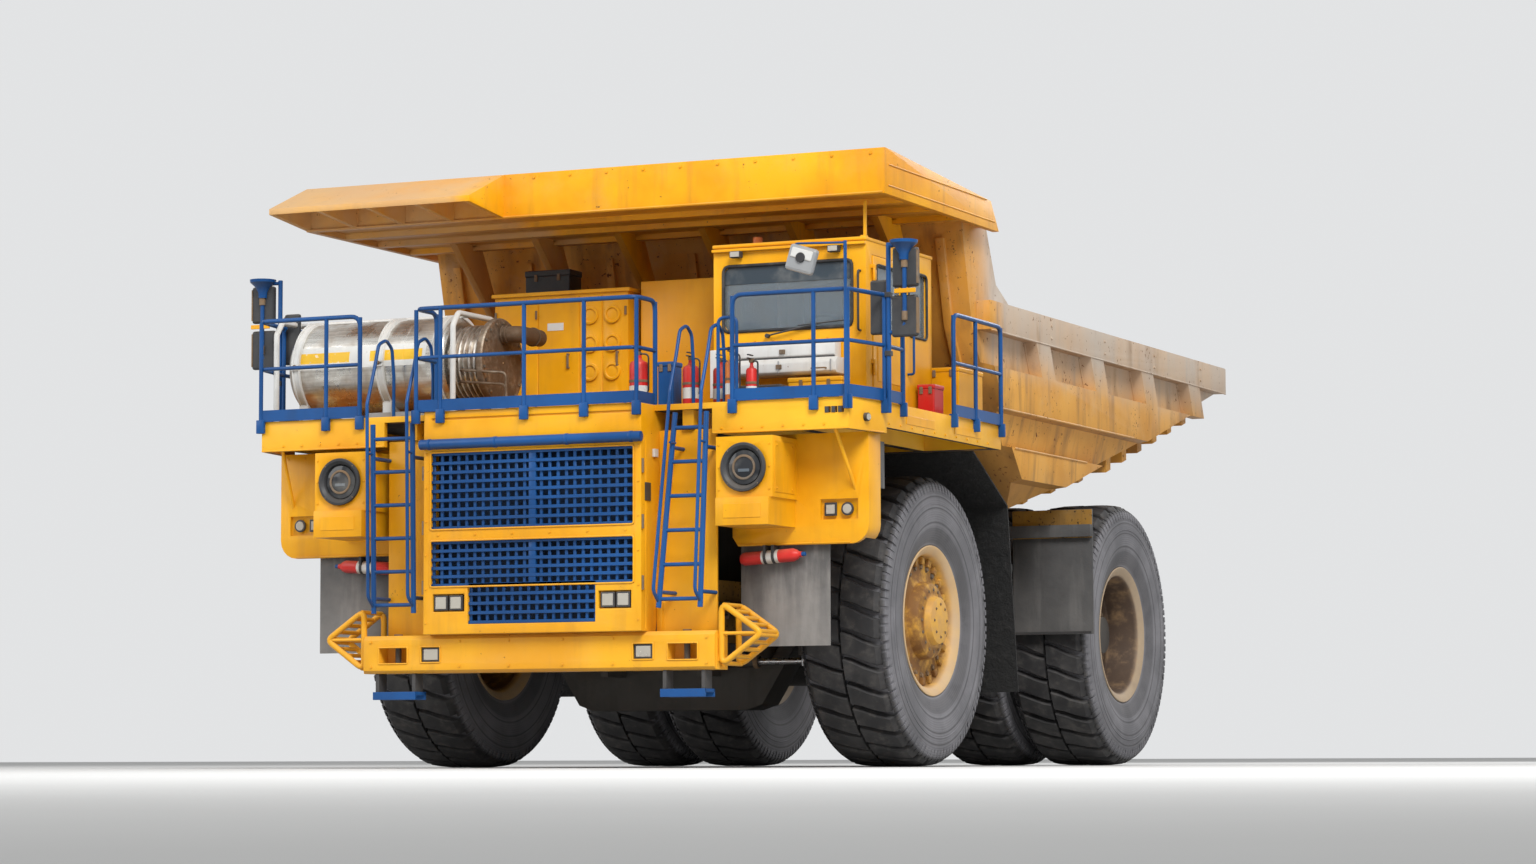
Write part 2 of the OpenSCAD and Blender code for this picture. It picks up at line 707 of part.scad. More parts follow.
module lamps() {
    yb = ya - bumper_y;
    yh = ya - hood_y;
    // Headlamps
    color(grey) both() {
        difference() {
            ycyl(ya - lamp_y - 40, ya - lamp_y - seat_gap, lamp_x, lamp_z, lamp_d);
            ycyl(ya - lamp_y - 41, ya - lamp_y - 15, lamp_x, lamp_z, lamp_d - 100);
        }
        ycyl(ya - lamp_y - 15 - eps, ya - lamp_y + 40, lamp_x, lamp_z, lamp_d - 70);
    }
    // Marker lamps in the wings
    color(white) both() {
        for (x = [40, 220]) translate([marker_x + x, ya - wing_y + 5, marker_z + 40]) cube([130, 35 - seat_gap, 120]);
    }
    // Twin square lamps in the hood and fog lamps in the bumper
    color(white) both() {
        for (x = [775, 945]) box([x, yh + 5, 1575], [x + 150, yh + 60 - seat_gap, 1725]);
        box([1090, yb + 10, bumper_low_z + 115], [1290, yb + 120 - seat_gap, bumper_low_z + 255]);
    }
    // Side marker on the hood's left face
    color(white) box([hood_x + seat_gap, yh + 250, 3060], [hood_x + 30, yh + 330, 3140]);
}

flap_y = ya - wing_y + 60 + seat_gap;
flap_t = 20;

module rubber_flaps() {
    color(rubber) both() {
        // Flaps hung inside the front wings
        xprism(1935, flap_x, [[flap_y, flap_low_z], [flap_y + flap_t, flap_low_z], [flap_y + flap_t, 2600], [flap_y, 2600]]);
        // Strips behind the wings' outer edges
        box([wing_x - 75, ya - wing_rear_y - 60, 2745], [wing_x - 60 - seat_gap, ya - wing_rear_y + 245, deck_low_z - 62]);
        // Splash sheets behind the front wheels
        xprism(1150, 3080, [[ya + 2100, 800], [ya + 2120, 800], [ya + 1830, 2810], [ya + 808, deck_z - 240],
            [ya + 796, deck_z - 256], [ya + 1810, 2800]]);
        // Guards ahead of the rear wheels
        box([2450, guard_y - 25, 1470], [3400, guard_y, 2870]);
    }
    // Steel hangers, the first with its front parallel to the splash sheet
    color(yellow) both() {
        xprism(rail_out_x + seat_gap, 3060, [[ya + 1931.8, 2100], [ya + 2010, 2100], [ya + 2010, 2180], [ya + 1920.2, 2180]]);
        box([rail_out_x + seat_gap, guard_y - 105, 2560], [3400, guard_y - 25 - seat_gap, 2695]);
    }
}

bottle_y = flap_y - 70;

module extinguishers() {
    color(red) both() {
        bar([1990, bottle_y, 2050], [2600, bottle_y, 2085], 130);
        for (p = [[1990, 2050], [2600, 2085]]) translate([p[0], bottle_y, p[1]]) sphere(d = 118, $fn = 32);
        box([2230, bottle_y - 25, 2100], [2350, ya - wing_y + 55, wing_low_z - seat_gap]);
    }
    color(red) {
        // Bottles on the deck: place across, along, height, diameter
        for (b = [[1440, -2700, 420, 170], [1700, -2560, 400, 150], [960, -2900, 470, 190]])
            translate([b[0], ya + b[1], deck_z + seat_gap]) {
                cylinder(h = b[2], d = b[3], $fn = 32);
                translate([0, 0, b[2]]) sphere(d = b[3] - 12, $fn = 32);
                cylinder(h = b[2] + 140, d = 50, $fn = 24);
            }
    }
}

// Handrail along points of (x, y, foot over the deck), with posts, mid rail and toe board
module handrail(pts) {
    for (h = [rail_top_h - handrail_d, 0.49 * rail_top_h]) plan_strip(pts, handrail_d, deck_z + h, handrail_d);
    for (p = pts) translate([p[0], p[1], deck_z + p[2]]) {
        cylinder(h = rail_top_h - 20 - p[2], d = post_d, $fn = 24);
    }
    plan_strip(pts, toe_t, deck_z + seat_gap, toe_h);
}

// Centre of a post that stands clear outside an edge
post_d = handrail_d - 4;
post_off = post_d / 2 + seat_gap;
edge_foot = -120;

module rails_centre() {
    y = ya - hood_y - post_off;
    z = seat_gap;
    f = edge_foot;
    color(blue) handrail([[-1300, y + 420, z], [-1300, y, f], [-1020, y, f], [-70, y, f], [600, y, f], [1180, y, f],
        [1180, y + 420, z]]);
}

module rails_left() {
    y = ya - deck_y - post_off;
    x = deck_x + post_off;
    f = edge_foot;
    color(blue) {
        handrail([[2080, y, f], [2950, y, f], [corner_x, y, f], [x, y + corner_len, f], [x, ya - 1990, f]]);
        handrail([[x, ya - 620, f], [x, ya, f], [x, ya + 730, f]]);
    }
}

module rails_right() {
    y = ya - deck_y - post_off;
    x = -deck_x - post_off;
    f = edge_foot;
    color(blue) handrail([[-2130, y, f], [-2530, y, f], [-corner_x, y, f], [x, y + corner_len, f], [x, ya - 1600, f], [x, ya - 800, f],
        [x, ya, f], [x, ya + 730, f]]);
}

module cab_shell() {
    y0 = ya - cab_y;
    y1 = y0 + cab_len;
    z0 = deck_z + seat_gap;
    w = cab_wall;
    door_y0 = y0 + 160;
    color(yellow) difference() {
        box([cab_in_x, y0, z0], [cab_out_x, y1, cab_top_z]);
        box([cab_in_x + w, y0 + w, z0 + w], [cab_out_x - w, y1 - w, cab_top_z - w]);
        // Windscreen
        box([cab_in_x + 110, y0 - eps, sill_z], [cab_out_x - 150, y0 + w + eps, head_z]);
        // Rear and inner windows
        box([cab_in_x + 250, y1 - w - eps, sill_z + 100], [cab_out_x - 250, y1 + eps, head_z]);
        box([cab_in_x - eps, y0 + 200, sill_z], [cab_in_x + w + eps, y1 - 250, head_z]);
        // Doorway and the side window behind it
        box([cab_out_x - w - eps, door_y0, z0 + 120], [cab_out_x + eps, door_y0 + door_w, head_z + 60]);
        box([cab_out_x - w - eps, door_y0 + door_w + 100, sill_z], [cab_out_x + eps, y1 - 130, head_z]);
    }
    // Hinge lugs over the door's knuckles
    color(dark) for (z = hinge_z) {
        translate([cab_out_x + 22, door_y0 - 2, z + 120 + seat_gap]) cylinder(h = 40, d = 28, $fn = 24);
        box([cab_out_x - eps, door_y0 - 30, z + 120 + seat_gap], [cab_out_x + 22, door_y0 - 2, z + 160]);
    }
}

// Undersides of the door's two hinge knuckles
hinge_z = [deck_z + 330, head_z - 200];

module cab_glass() {
    y0 = ya - cab_y;
    y1 = y0 + cab_len;
    g = seat_gap;
    color(glassy) {
        box([cab_in_x + 110 + g, y0 + 25, sill_z + g], [cab_out_x - 150 - g, y0 + 25 + glass_t, head_z - g]);
        box([cab_in_x + 250 + g, y1 - 40, sill_z + 100 + g], [cab_out_x - 250 - g, y1 - 40 + glass_t, head_z - g]);
        box([cab_in_x + 25, y0 + 200 + g, sill_z + g], [cab_in_x + 25 + glass_t, y1 - 250 - g, head_z - g]);
        box([cab_out_x - 40, y0 + 260 + door_w + g, sill_z + g], [cab_out_x - 40 + glass_t, y1 - 130 - g, head_z - g]);
    }
}

module cab_interior() {
    x = (cab_in_x + cab_out_x) / 2 + 200;
    y0 = ya - cab_y;
    z0 = deck_z + cab_wall + 2 * seat_gap;
    color(dark) {
        // Seat on its pedestal
        box([x - 160, y0 + 900, z0], [x + 160, y0 + 1250, z0 + 260]);
        box([x - 260, y0 + 800, z0 + 259], [x + 260, y0 + 1330, z0 + 400]);
        xprism(x - 250, x + 250, [[y0 + 1240, z0 + 399], [y0 + 1370, z0 + 399], [y0 + 1440, z0 + 1080], [y0 + 1340, z0 + 1080]]);
        // Dashboard and steering column
        xprism(cab_in_x + 150, cab_out_x - 150, [[y0 + 120, z0], [y0 + 330, z0], [y0 + 420, z0 + 620], [y0 + 120, z0 + 760]]);
        bar([x, y0 + 360, z0 + 560], [x, y0 + 560, z0 + 780], 60);
    }
    color(rubber) translate([x, y0 + 560, z0 + 780]) rotate([-42, 0, 0]) rotate_extrude($fn = 48) translate([210, 0]) circle(d = 34, $fn = 24);
    color(rubber) translate([x, y0 + 560, z0 + 780]) rotate([-42, 0, 0]) cube([420, 40, 20], center = true);
}

// Locker on the cab's front below the windscreen, in two tiers: from, to, depth, low edge, high edge
module cab_locker() {
    y1 = ya - cab_y - seat_gap;
    color(white) for (t = [[1550, 2800, 260, 3910, 4080], [1600, 2750, 170, 4079, 4270]])
        xprism(t[0], t[1], [[y1 - t[2] + 30, t[3]], [y1, t[3]], [y1, t[4]], [y1 - t[2] + 50, t[4]], [y1 - t[2], t[4] - 50], [y1 - t[2], t[3] + 30]]);
}

module cab_door() {
    y0 = ya - cab_y + 160 + door_gap;
    y1 = ya - cab_y + 160 + door_w - door_gap;
    z0 = deck_z + 120 + seat_gap + door_gap;
    z1 = head_z + 60 - door_gap;
    color(yellow) difference() {
        box([cab_out_x - cab_wall + 10, y0, z0], [cab_out_x + 8, y1, z1]);
        box([cab_out_x - cab_wall, y0 + 90, sill_z], [cab_out_x + 20, y1 - 90, head_z - 30]);
    }
    // Hinges
    color(dark) for (z = hinge_z) {
        translate([cab_out_x + 22, y0 - 10, z]) cylinder(h = 120, d = 28, $fn = 24);
        box([cab_out_x + 7, y0 - 10, z + 10], [cab_out_x + 22, y0 + 60, z + 110]);
    }
    color(dark) box([cab_out_x + 7, y1 - 90, sill_z - 160], [cab_out_x + 40, y1 - 50, sill_z - 40]);
}

module door_glass() {
    y0 = ya - cab_y + 160 + door_gap;
    y1 = ya - cab_y + 160 + door_w - door_gap;
    g = seat_gap;
    color(glassy) box([cab_out_x - 35, y0 + 90 + g, sill_z + g], [cab_out_x - 35 + glass_t, y1 - 90 - g, head_z - 30 - g]);
}

module mirrors() {
    x = deck_x + post_off + handrail_d + seat_gap;
    y = ya - deck_y - post_off + corner_len;
    top = 5140;
    foot = deck_z + edge_foot;
    color(blue) both() {
        translate([x, y, foot]) cylinder(h = top - foot, d = handrail_d, $fn = 24);
        for (z = [top - 30, 4320]) xcyl(x, x + 310, y, z, handrail_d - 10);
        translate([x + 170, y, 4320]) cylinder(h = top - 30 - 4320, d = 30, $fn = 24);
    }
    // Two heads on each side: low and high edge
    color(dark) both() for (h = [[4340, 4620], [4650, 4930]])
        box([x + 40, y - 90, h[0]], [x + 330, y - 12, h[1]]);
    // Flared bracket over the heads
    color(blue) both() translate([x + 170, y - 50, 0])
        rotate_extrude($fn = 48) polygon([[0, 4935], [70, 4935], [135, 5120], [135, 5150], [0, 5150]]);
    // Round mirror on the left front corner
    ym = y - corner_len - handrail_d / 2 - 18 - seat_gap;
    color(blue) {
        translate([corner_x, ym, foot]) cylinder(h = 5090 - foot, d = 36, $fn = 24);
        xcyl(2850, corner_x, ym, 5070, 28);
    }
    color(grey) ycyl(ym - 30, ym + 30, 2850, 4940, 340);
}

module brake_resistor() {
    z = deck_z + 90 + drum_d / 2;
    x1 = -1330;
    x0 = x1 - drum_len;
    r = drum_d / 2;
    color(steel) turned(ya - drum_y, z, concat([[0, x0]],
        [for (a = [0 : 15 : 90]) [r - drum_end + drum_end * sin(a), x0 + drum_end - drum_end * cos(a)]],
        [[r, x1], [0, x1]]));
    // Clamping bands on feet
    color(white) for (x = [x0 + 190, x0 + 1190, x1 - 130]) {
        difference() {
            xcyl(x, x + 90, ya - drum_y, z, drum_d + 40);
            xcyl(x - eps, x + 91, ya - drum_y, z, drum_d - 20);
        }
        box([x, ya - drum_y - 300, deck_z + seat_gap], [x + 90, ya - drum_y + 300, z - drum_d / 2 + 40]);
    }
}

module resistor_piping() {
    z = deck_z + 90 + drum_d / 2;
    y = ya - drum_y;
    color(steel) {
        xcyl(-1330 + seat_gap, -880, y, z, drum_d - 240);
        for (k = [0 : 3]) xcyl(-1310 + 90 * k, -1270 + 90 * k, y, z, drum_d - 160);
        xcyl(-960, -870, y, z, drum_d - 60);
        xcyl(-900, -700, y, z + 290, 170);
        translate([-700, y, z + 290]) sphere(d = 200, $fn = 48);
        ycyl(y, y + 460, -700, z + 290, 170);
        box([-960, y - 120, deck_z + seat_gap], [-900, y + 120, z]);
    }
}

module control_cabinet() {
    x1 = 20;
    x0 = x1 - cabinet_w;
    y0 = ya - 1250;
    color(yellow) difference() {
        box([x0, y0, deck_z + seat_gap], [x1, y0 + cabinet_t, deck_z + cabinet_h]);
        // Seams between the doors
        for (x = [-1050, -560, -290]) box([x, y0 - eps, deck_z + 80], [x + 14, y0 + 12, deck_z + cabinet_h - 60]);
    }
    // Pressed discs on the doors
    color(yellow) for (x = [-420, -160]) for (k = [0 : 3]) ycyl(y0 - 14, y0 + eps, x, deck_z + 260 + k * 300, 190);
}

// Boxes that stand on the deck: low corner across and along, size across, along and up, height over the deck, colour
boxes = [[1780, -2700, 640, 350, 190, 0, dark], [-1500, -700, 550, 300, 320, cabinet_h, dark], [1010, -2600, 190, 220, 480, 0, blue],
    [2907, -100, 380, 700, 560, 0, yellow], [2300, -2280, 600, 220, 290, 0, yellow], [3050, -700, 200, 280, 330, 0, red]];

module deck_boxes() {
    for (b = boxes) color(b[6]) translate([b[0], ya + b[1], deck_z + b[5] + seat_gap]) cube([b[2], b[3], b[4] - seat_gap]);
}

module bulkhead() {
    color(yellow) {
        // Tall plate between the cabinet and the cab
        box([120, ya - 1150, deck_z + seat_gap], [cab_in_x - 60, ya - 1090, deck_z + 1500]);
        // Plates behind the ladders
        both() box([hood_x + 1.3, ya - 2980, bumper_low_z + bumper_h + seat_gap], [1850, ya - 2940, deck_low_z + 59]);
        both() box([hood_x + 1.3, ya - 3040, bumper_low_z + bumper_h + seat_gap], [hood_x + 60, ya - 2980 + eps, bumper_low_z + bumper_h + 300]);
    }
}

module side_tanks() {
    color(yellow) {
        // Fuel tank on the right, hydraulic tank on the left
        xprism(-2350, -rail_out_x - seat_gap, [[ya + 2200, 1300], [ya + 2350, 1150], [ya + 3000, 1150], [ya + 3150, 1300], [ya + 3150, 2300], [ya + 2200, 2300]]);
        xprism(rail_out_x + seat_gap, 2100, [[ya + 2200, 1350], [ya + 2300, 1250], [ya + 3000, 1250], [ya + 3100, 1350], [ya + 3100, 2250], [ya + 2200, 2250]]);
    }
}

// Knuckle with its fork, spindle and two steering arms, left side
module knuckle() {
    b = hub_z;
    gap = 205;
    cheek = 150;
    color(dark) {
        difference() {
            union() {
                for (z = [b + gap, b - gap - cheek]) {
                    translate([kingpin_x, ya, z]) cylinder(h = cheek, d = 320, $fn = 64);
                    box([kingpin_x, ya - 160, z], [kingpin_x + 290, ya + 160, z + cheek]);
                }
                box([kingpin_x + 200, ya - 200, b - gap - cheek], [kingpin_x + 290, ya + 200, b + gap + cheek]);
                // Arms to the tie rod behind and to the cylinder ahead
                for (s = [-1, 1]) {
                    translate([kingpin_x, ya + s * arm_len, b - gap - cheek]) cylinder(h = 90, d = 150, $fn = 48);
                    box([kingpin_x - 60, ya + (s < 0 ? -arm_len : 100), b - gap - cheek], [kingpin_x + 60, ya + (s < 0 ? -100 : arm_len), b - gap - cheek + 90]);
                }
            }
            for (z = [b + gap, b - gap - cheek])
                translate([kingpin_x, ya, z - eps]) cylinder(h = cheek + 2 * eps, d = kingpin_d + 2 * seat_gap, $fn = 64);
        }
        xcyl(kingpin_x + 289, front_outer_x - 120, ya, b, spindle_d);
    }
}

module knuckle_left() {
    knuckle();
}

module knuckle_right() {
    mirror([1, 0, 0]) knuckle();
}

link_z = hub_z - 205 - 150 - 110;

module tie_rod() {
    color(dark) {
        for (s = [-1, 1]) translate([s * kingpin_x, ya + arm_len, link_z]) cylinder(h = 110 - seat_gap, d = 140, $fn = 48);
        xcyl(-kingpin_x, kingpin_x, ya + arm_len, link_z + 55, tie_rod_d);
    }
}

steer_pivot_x = 560;
steer_y = -545;

module steer_barrel() {
    color(dark) {
        difference() {
            translate([steer_pivot_x, ya + steer_y, link_z + 10]) cylinder(h = 90, d = 130, $fn = 48);
            translate([steer_pivot_x, ya + steer_y, link_z]) cylinder(h = 130, d = 50.6, $fn = 48);
        }
        difference() {
            xcyl(steer_pivot_x + 60, steer_pivot_x + 640, ya + steer_y, link_z + 55, steer_barrel_d);
            xcyl(steer_pivot_x + 90, steer_pivot_x + 641, ya + steer_y, link_z + 55, steer_rod_d + 2 * seat_gap);
        }
    }
}

module steer_rod() {
    color(steel) {
        xcyl(steer_pivot_x + 480, kingpin_x - 50, ya + steer_y, link_z + 55, steer_rod_d);
        translate([kingpin_x, ya + steer_y, link_z]) cylinder(h = 104, d = 140, $fn = 48);
    }
}

module steer_barrel_left() {
    steer_barrel();
}

module steer_barrel_right() {
    mirror([1, 0, 0]) steer_barrel();
}

module steer_rod_left() {
    steer_rod();
}

module steer_rod_right() {
    mirror([1, 0, 0]) steer_rod();
}

lug_gap = 30;

// Half of a tyre's section over its lugs, as radius and place across, from the bead to the middle
over_lugs = [[flange_d / 2 - 60, tyre_w / 2 - 130], [flange_d / 2 + 60, tyre_w / 2 - 60], [1130, tyre_w / 2],
    [1330, tyre_w / 2 - 6], [tyre_d / 2 - 70, tyre_w / 2 - 32], [tyre_d / 2, tyre_w / 2 - 150]];

// The same below the lugs
under_lugs = concat([for (k = [0 : 3]) over_lugs[k]], [[tyre_d / 2 - lug_depth, tyre_w / 2 - 60]]);

// A whole section from its half
function both_halves(half) = concat([for (k = [0 : len(half) - 1]) [half[k][0], -half[k][1]]],
    [for (k = [len(half) - 1 : -1 : 0]) half[k]]);

// Row of lugs on one side (1 or -1), centred on the shoulder and slanted towards the middle
module lugs(side) {
    pitch = 360 / lug_count;
    reach = (tyre_w / 2 + 40) / cos(lug_slant);
    for (k = [0 : lug_count - 1])
        rotate([(k + (side < 0 ? 0.5 : 0)) * pitch, 0, 0])
            translate([side * tyre_w / 2, 0, tyre_d / 2 - lug_depth - 60]) rotate([0, 0, -lug_slant])
                translate([side < 0 ? -40 : 40 - reach + lug_gap, -lug_w / 2, 0]) cube([reach - lug_gap, lug_w, lug_depth + 80]);
}

module tyre(x, y) {
    translate([x, y, hub_z]) {
        turned(0, 0, both_halves(under_lugs));
        intersection() {
            turned(0, 0, both_halves(over_lugs));
            for (side = [-1, 1]) lugs(side);
        }
    }
}

// Front rim with a closed face, hub drum and bolts, outer face towards +X
module front_rim(x) {
    r = flange_d / 2;
    ri = r - 60 - seat_gap;
    w = tyre_w / 2;
    s = spindle_d / 2 + spindle_gap;
    color(yellow) {
        translate([x, 0, 0]) turned(ya, hub_z, [[s, -w + 150], [s, w - 100], [s + 60, w - 60], [350, w - 60], [395, w - 90], [410, w - 190],
            [ri - 90, w - 210], [ri - 40, w - 110], [r, w - 70], [r, w - 94], [ri, w - 129], [ri, -w + 129], [r, -w + 94], [r, -w + 70],
            [ri - 60, -w + 110], [ri - 60, w - 300], [s + 120, w - 300], [s + 120, -w + 150]]);
        for (k = [0 : wheel_bolts - 1]) {
            a = 360 * k / wheel_bolts;
            xcyl(x + w - 215, x + w - 160, ya + bolt_r * cos(a), hub_z + bolt_r * sin(a), 54);
        }
        // Hub cap over the spindle's end
        xcyl(x + w - 72, x + w + 20, ya, hub_z, 520);
    }
}

// Twin rims on one drum, outer face towards +X
module rear_rims(x, y) {
    r = flange_d / 2;
    ri = r - 60 - seat_gap;
    w = tyre_w / 2;
    s = spindle_d / 2 + spindle_gap;
    t = twin_step;
    color(yellow) translate([x, 0, 0]) turned(y, hub_z, [[ri - 50, w - 110], [r, w - 70], [r, w - 94], [ri, w - 129], [ri, -w + 129],
        [r, -w + 94], [r, w - t - 94], [ri, w - t - 129], [ri, -w - t + 129], [r, -w - t + 94], [r, -w - t + 70], [ri - 50, -w - t + 110],
        [ri - 50, -w - 100], [s, -w - 100], [s, 100], [s + 120, 100], [s + 120, 0], [ri - 50, 0]]);
}

module front_rim_left() {
    front_rim(front_x);
}

module front_rim_right() {
    mirror([1, 0, 0]) front_rim(front_x);
}

module front_tyre_left() {
    color(rubber) tyre(front_x, ya);
}

module front_tyre_right() {
    color(rubber) tyre(-front_x, ya);
}

module rear_rims_left() {
    rear_rims(rear_x, ya + wheelbase);
}

module rear_rims_right() {
    mirror([1, 0, 0]) rear_rims(rear_x, ya + wheelbase);
}

module rear_tyres_left() {
    color(rubber) for (x = [rear_x, rear_x - twin_step]) tyre(x, ya + wheelbase);
}

module rear_tyres_right() {
    color(rubber) for (x = [rear_x, rear_x - twin_step]) tyre(-x, ya + wheelbase);
}

// Height of the floor's underside at a place behind the front axle
function floor_z(y) = floor_mid_z + floor_rise * (y - 4000) / 1000;

// Places along the bed's front wall, its outer face
wall_top_y = 330;
wall_mid_y = 620;
wall_low_y = 2250;
wall_top_z = canopy_top_z - canopy_h + 60 - seat_gap;
wall_mid_z = 4650;
wall_low_z = 2800;

// Place of the front wall's outer face at a height over its knee
function wall_y(z) = wall_mid_y + (wall_top_y - wall_mid_y) * (z - wall_mid_z) / (wall_top_z - wall_mid_z);

// Hull section of the bed at an inset from its outer skin, in (x, z)
// Half of the bed's section: its inside as (in from the inner face, height), its outside as (in from bed_x, height)
inner_rows = [[0, 7000], [0, 3850], [100, 3510], [200, 3200], [400, wall_low_z + bed_wall]];
outer_rows = [[panel_step, 7000], [panel_step, band_z + 40], [0, band_z], [0, band_z - band_h], [100, band_z - band_h - 25],
    [175, low_band_z + 20], [70, low_band_z], [90, low_band_z - low_band_h], [230, low_band_z - low_band_h - 30], [400, wall_low_z]];
function both_rows(x, rows) = concat([for (r = rows) [x - r[0], r[1]]],
    [for (k = [len(rows) - 1 : -1 : 0]) [rows[k][0] - x, rows[k][1]]]);

module bed_shell() {
    y_low = 2700;
    side = [[ya + wall_top_y, wall_top_z], [ya + wall_mid_y, wall_mid_z], [ya + 1170, 3790], [ya + wall_low_y, wall_low_z],
        [ya + y_low, floor_z(y_low)], [ya + tail_y, floor_z(tail_y)],
        [ya + tail_y, bed_top_z - 10], [ya + 1850, bed_top_z - 10], [ya + 1340, 5160], [ya + 1060, wall_top_z]];
    f = bed_floor;
    inner = [[ya + wall_top_y + 700, 7000], [ya + wall_top_y + 260, 5500], [ya + 1170 + f, 3790], [ya + wall_low_y + 180, wall_low_z + f + 60],
        [ya + y_low, floor_z(y_low) + f], [ya + tail_y + 10, floor_z(tail_y + 10) + f], [ya + tail_y + 10, 7000]];
    color(tan) {
        difference() {
            intersection() {
                xprism(-bed_x, bed_x, side);
                yprism(ya - 500, ya + tail_y + 10, both_rows(bed_x, outer_rows));
            }
            intersection() {
                xprism(-bed_x, bed_x, inner);
                yprism(ya - 500, ya + tail_y + 20, both_rows(bed_x - panel_step - bed_wall, inner_rows));
            }
        }
        both() {
            // Top rail and posts
            box([bed_x - panel_step - eps, ya + 760, bed_top_z - bed_rail_h], [bed_x, ya + tail_y, bed_top_z]);
            for (k = [0 : 3]) {
                y = ya + post_y + k * post_pitch;
                xprism(bed_x - panel_step - eps, bed_x, [[y, band_z - eps], [y + post_w, band_z - eps],
                    [y + post_w - post_lean, bed_top_z - bed_rail_h + eps], [y - post_lean, bed_top_z - bed_rail_h + eps]]);
            }
        }
        // Upright ribs on the front wall
        for (x = [-2900, -2000, -1000, 0, 1000, 2000, 2900])
            xprism(x - 45, x + 45, [[ya + wall_y(5560) + 30, 5560], [ya + wall_y(5560) - 60, 5560], [ya + wall_mid_y - 60, wall_mid_z],
                [ya + 1110, 3790], [ya + 1200, 3790], [ya + wall_mid_y + 30, wall_mid_z]]);
        // Cross ribs under the floor
        for (k = [0 : 9]) {
            y = 3300 + k * rib_pitch;
            half = k < 3 ? 2700 + 130 * k : 3100;
            xprism(-half, half, [[ya + y, floor_z(y) - rib_h], [ya + y + 160, floor_z(y + 160) - rib_h],
                [ya + y + 160, floor_z(y + 160) + 20], [ya + y, floor_z(y) + 20]]);
        }
        // Beams that rest on the frame, with the pivot ears
        both() bed_beam();
    }
}

module bed_beam() {
    low = rail_rear_z + pad_t + seat_gap;
    xprism(rail_in_x, rail_out_x, [[ya + 2600, low + 60], [ya + 3000, low], [ya + pivot_y - 250, low], [ya + pivot_y - 250, floor_z(pivot_y - 250) + 20],
        [ya + 2700, floor_z(2700) + 20]]);
    difference() {
        union() {
            xprism(rail_out_x + 12, rail_out_x + 132, [[ya + pivot_y - 900, low + 40], [ya + pivot_y - 170, pivot_z], [ya + pivot_y + 170, pivot_z],
                [ya + pivot_y + 300, floor_z(pivot_y + 300) + 20], [ya + pivot_y - 900, floor_z(pivot_y - 900) + 20]]);
            xcyl(rail_out_x + 12, rail_out_x + 132, ya + pivot_y, pivot_z, 340);
            box([rail_out_x - 40, ya + pivot_y - 900, low + 60], [rail_out_x + 40, ya + pivot_y - 260, floor_z(pivot_y - 900) + 20]);
        }
        xcyl(rail_out_x, rail_out_x + 140, ya + pivot_y, pivot_z, pivot_d + 2 * seat_gap);
    }
    // Ears and pin for the hoist's rod
    for (x = [hoist_x - 120, hoist_x + 80])
        xprism(x, x + 40, [[ya + hoist_up_y - 150, hoist_up_z - 90], [ya + hoist_up_y + 150, hoist_up_z - 90],
            [ya + hoist_up_y + 150, floor_z(hoist_up_y) + 20], [ya + hoist_up_y - 150, floor_z(hoist_up_y) + 20]]);
    xcyl(hoist_x - 120, hoist_x + 120, ya + hoist_up_y, hoist_up_z, 90);
}

module canopy() {
    z0 = canopy_top_z - canopy_h;
    y0 = ya - canopy_y;
    x = canopy_x;
    color(yellow) {
        // Front board
        box([-x, y0, z0], [x, y0 + 80, canopy_top_z]);
        // Roof plate over the deck and side boards
        xprism(-x + 60, x - 60, [[y0 + 79, z0 + 60], [ya + 900, z0 + 60], [ya + 900, z0 + 140], [y0 + 79, z0 + 140]]);
        both() xprism(x - 70, x, [[y0 + 79, z0], [ya + 970, z0], [ya + 740, z0 + 300], [y0 + 79, canopy_top_z]]);
        // Forward deflector over the right half
        xprism(-x, -950, [[y0 + eps, canopy_top_z - 60], [y0 + eps, canopy_top_z], [y0 - wedge_reach, z0 + 150], [y0 - wedge_reach, z0 + 90]]);
        for (k = [-x, -2760, -2180, -1600, -1010]) xprism(k, k + 60, [[y0 + eps, z0 + 10], [y0 + eps, canopy_top_z - 30], [y0 - wedge_reach, z0 + 120], [y0 - wedge_reach, z0 + 90]]);
        // Cross stiffeners under the roof plate and braces down to the front wall
        for (y = [-1500, -800, -100]) box([-x + 69, ya + y, z0 + 1], [x - 69, ya + y + 120, z0 + 61]);
    }
    color(tan) for (bx = [-2500, -1500, -500, 500, 1500, 2500])
        xprism(bx - 40, bx + 40, [[ya - 520, z0 + 61], [ya + 100, z0 + 61], [ya + wall_y(5060) - seat_gap, 5060],
            [ya + wall_y(4850) - seat_gap, 4850]]);
}

module hoist_part(r_out, r_in, from, to) {
    v = [0, hoist_up_y - hoist_low_y, hoist_up_z - hoist_low_z];
    a = atan2(v[1], v[2]);
    translate([hoist_x, ya + hoist_low_y, hoist_low_z]) rotate([-a, 0, 0]) difference() {
        translate([0, 0, from]) cylinder(h = to - from, r = r_out, $fn = 64);
        if (r_in > 0) translate([0, 0, from + 60]) cylinder(h = to - from, r = r_in, $fn = 64);
    }
}

hoist_len = norm([hoist_up_y - hoist_low_y, hoist_up_z - hoist_low_z]);

module hoist_barrel() {
    color(yellow) difference() {
        union() {
            hoist_part(hoist_d / 2, hoist_d / 2 - 24, 90, hoist_len - 210);
            xcyl(hoist_x - 60, hoist_x + 60, ya + hoist_low_y, hoist_low_z, 200);
        }
        xcyl(hoist_x - 70, hoist_x + 70, ya + hoist_low_y, hoist_low_z, hoist_pin_d + 2 * seat_gap);
    }
}

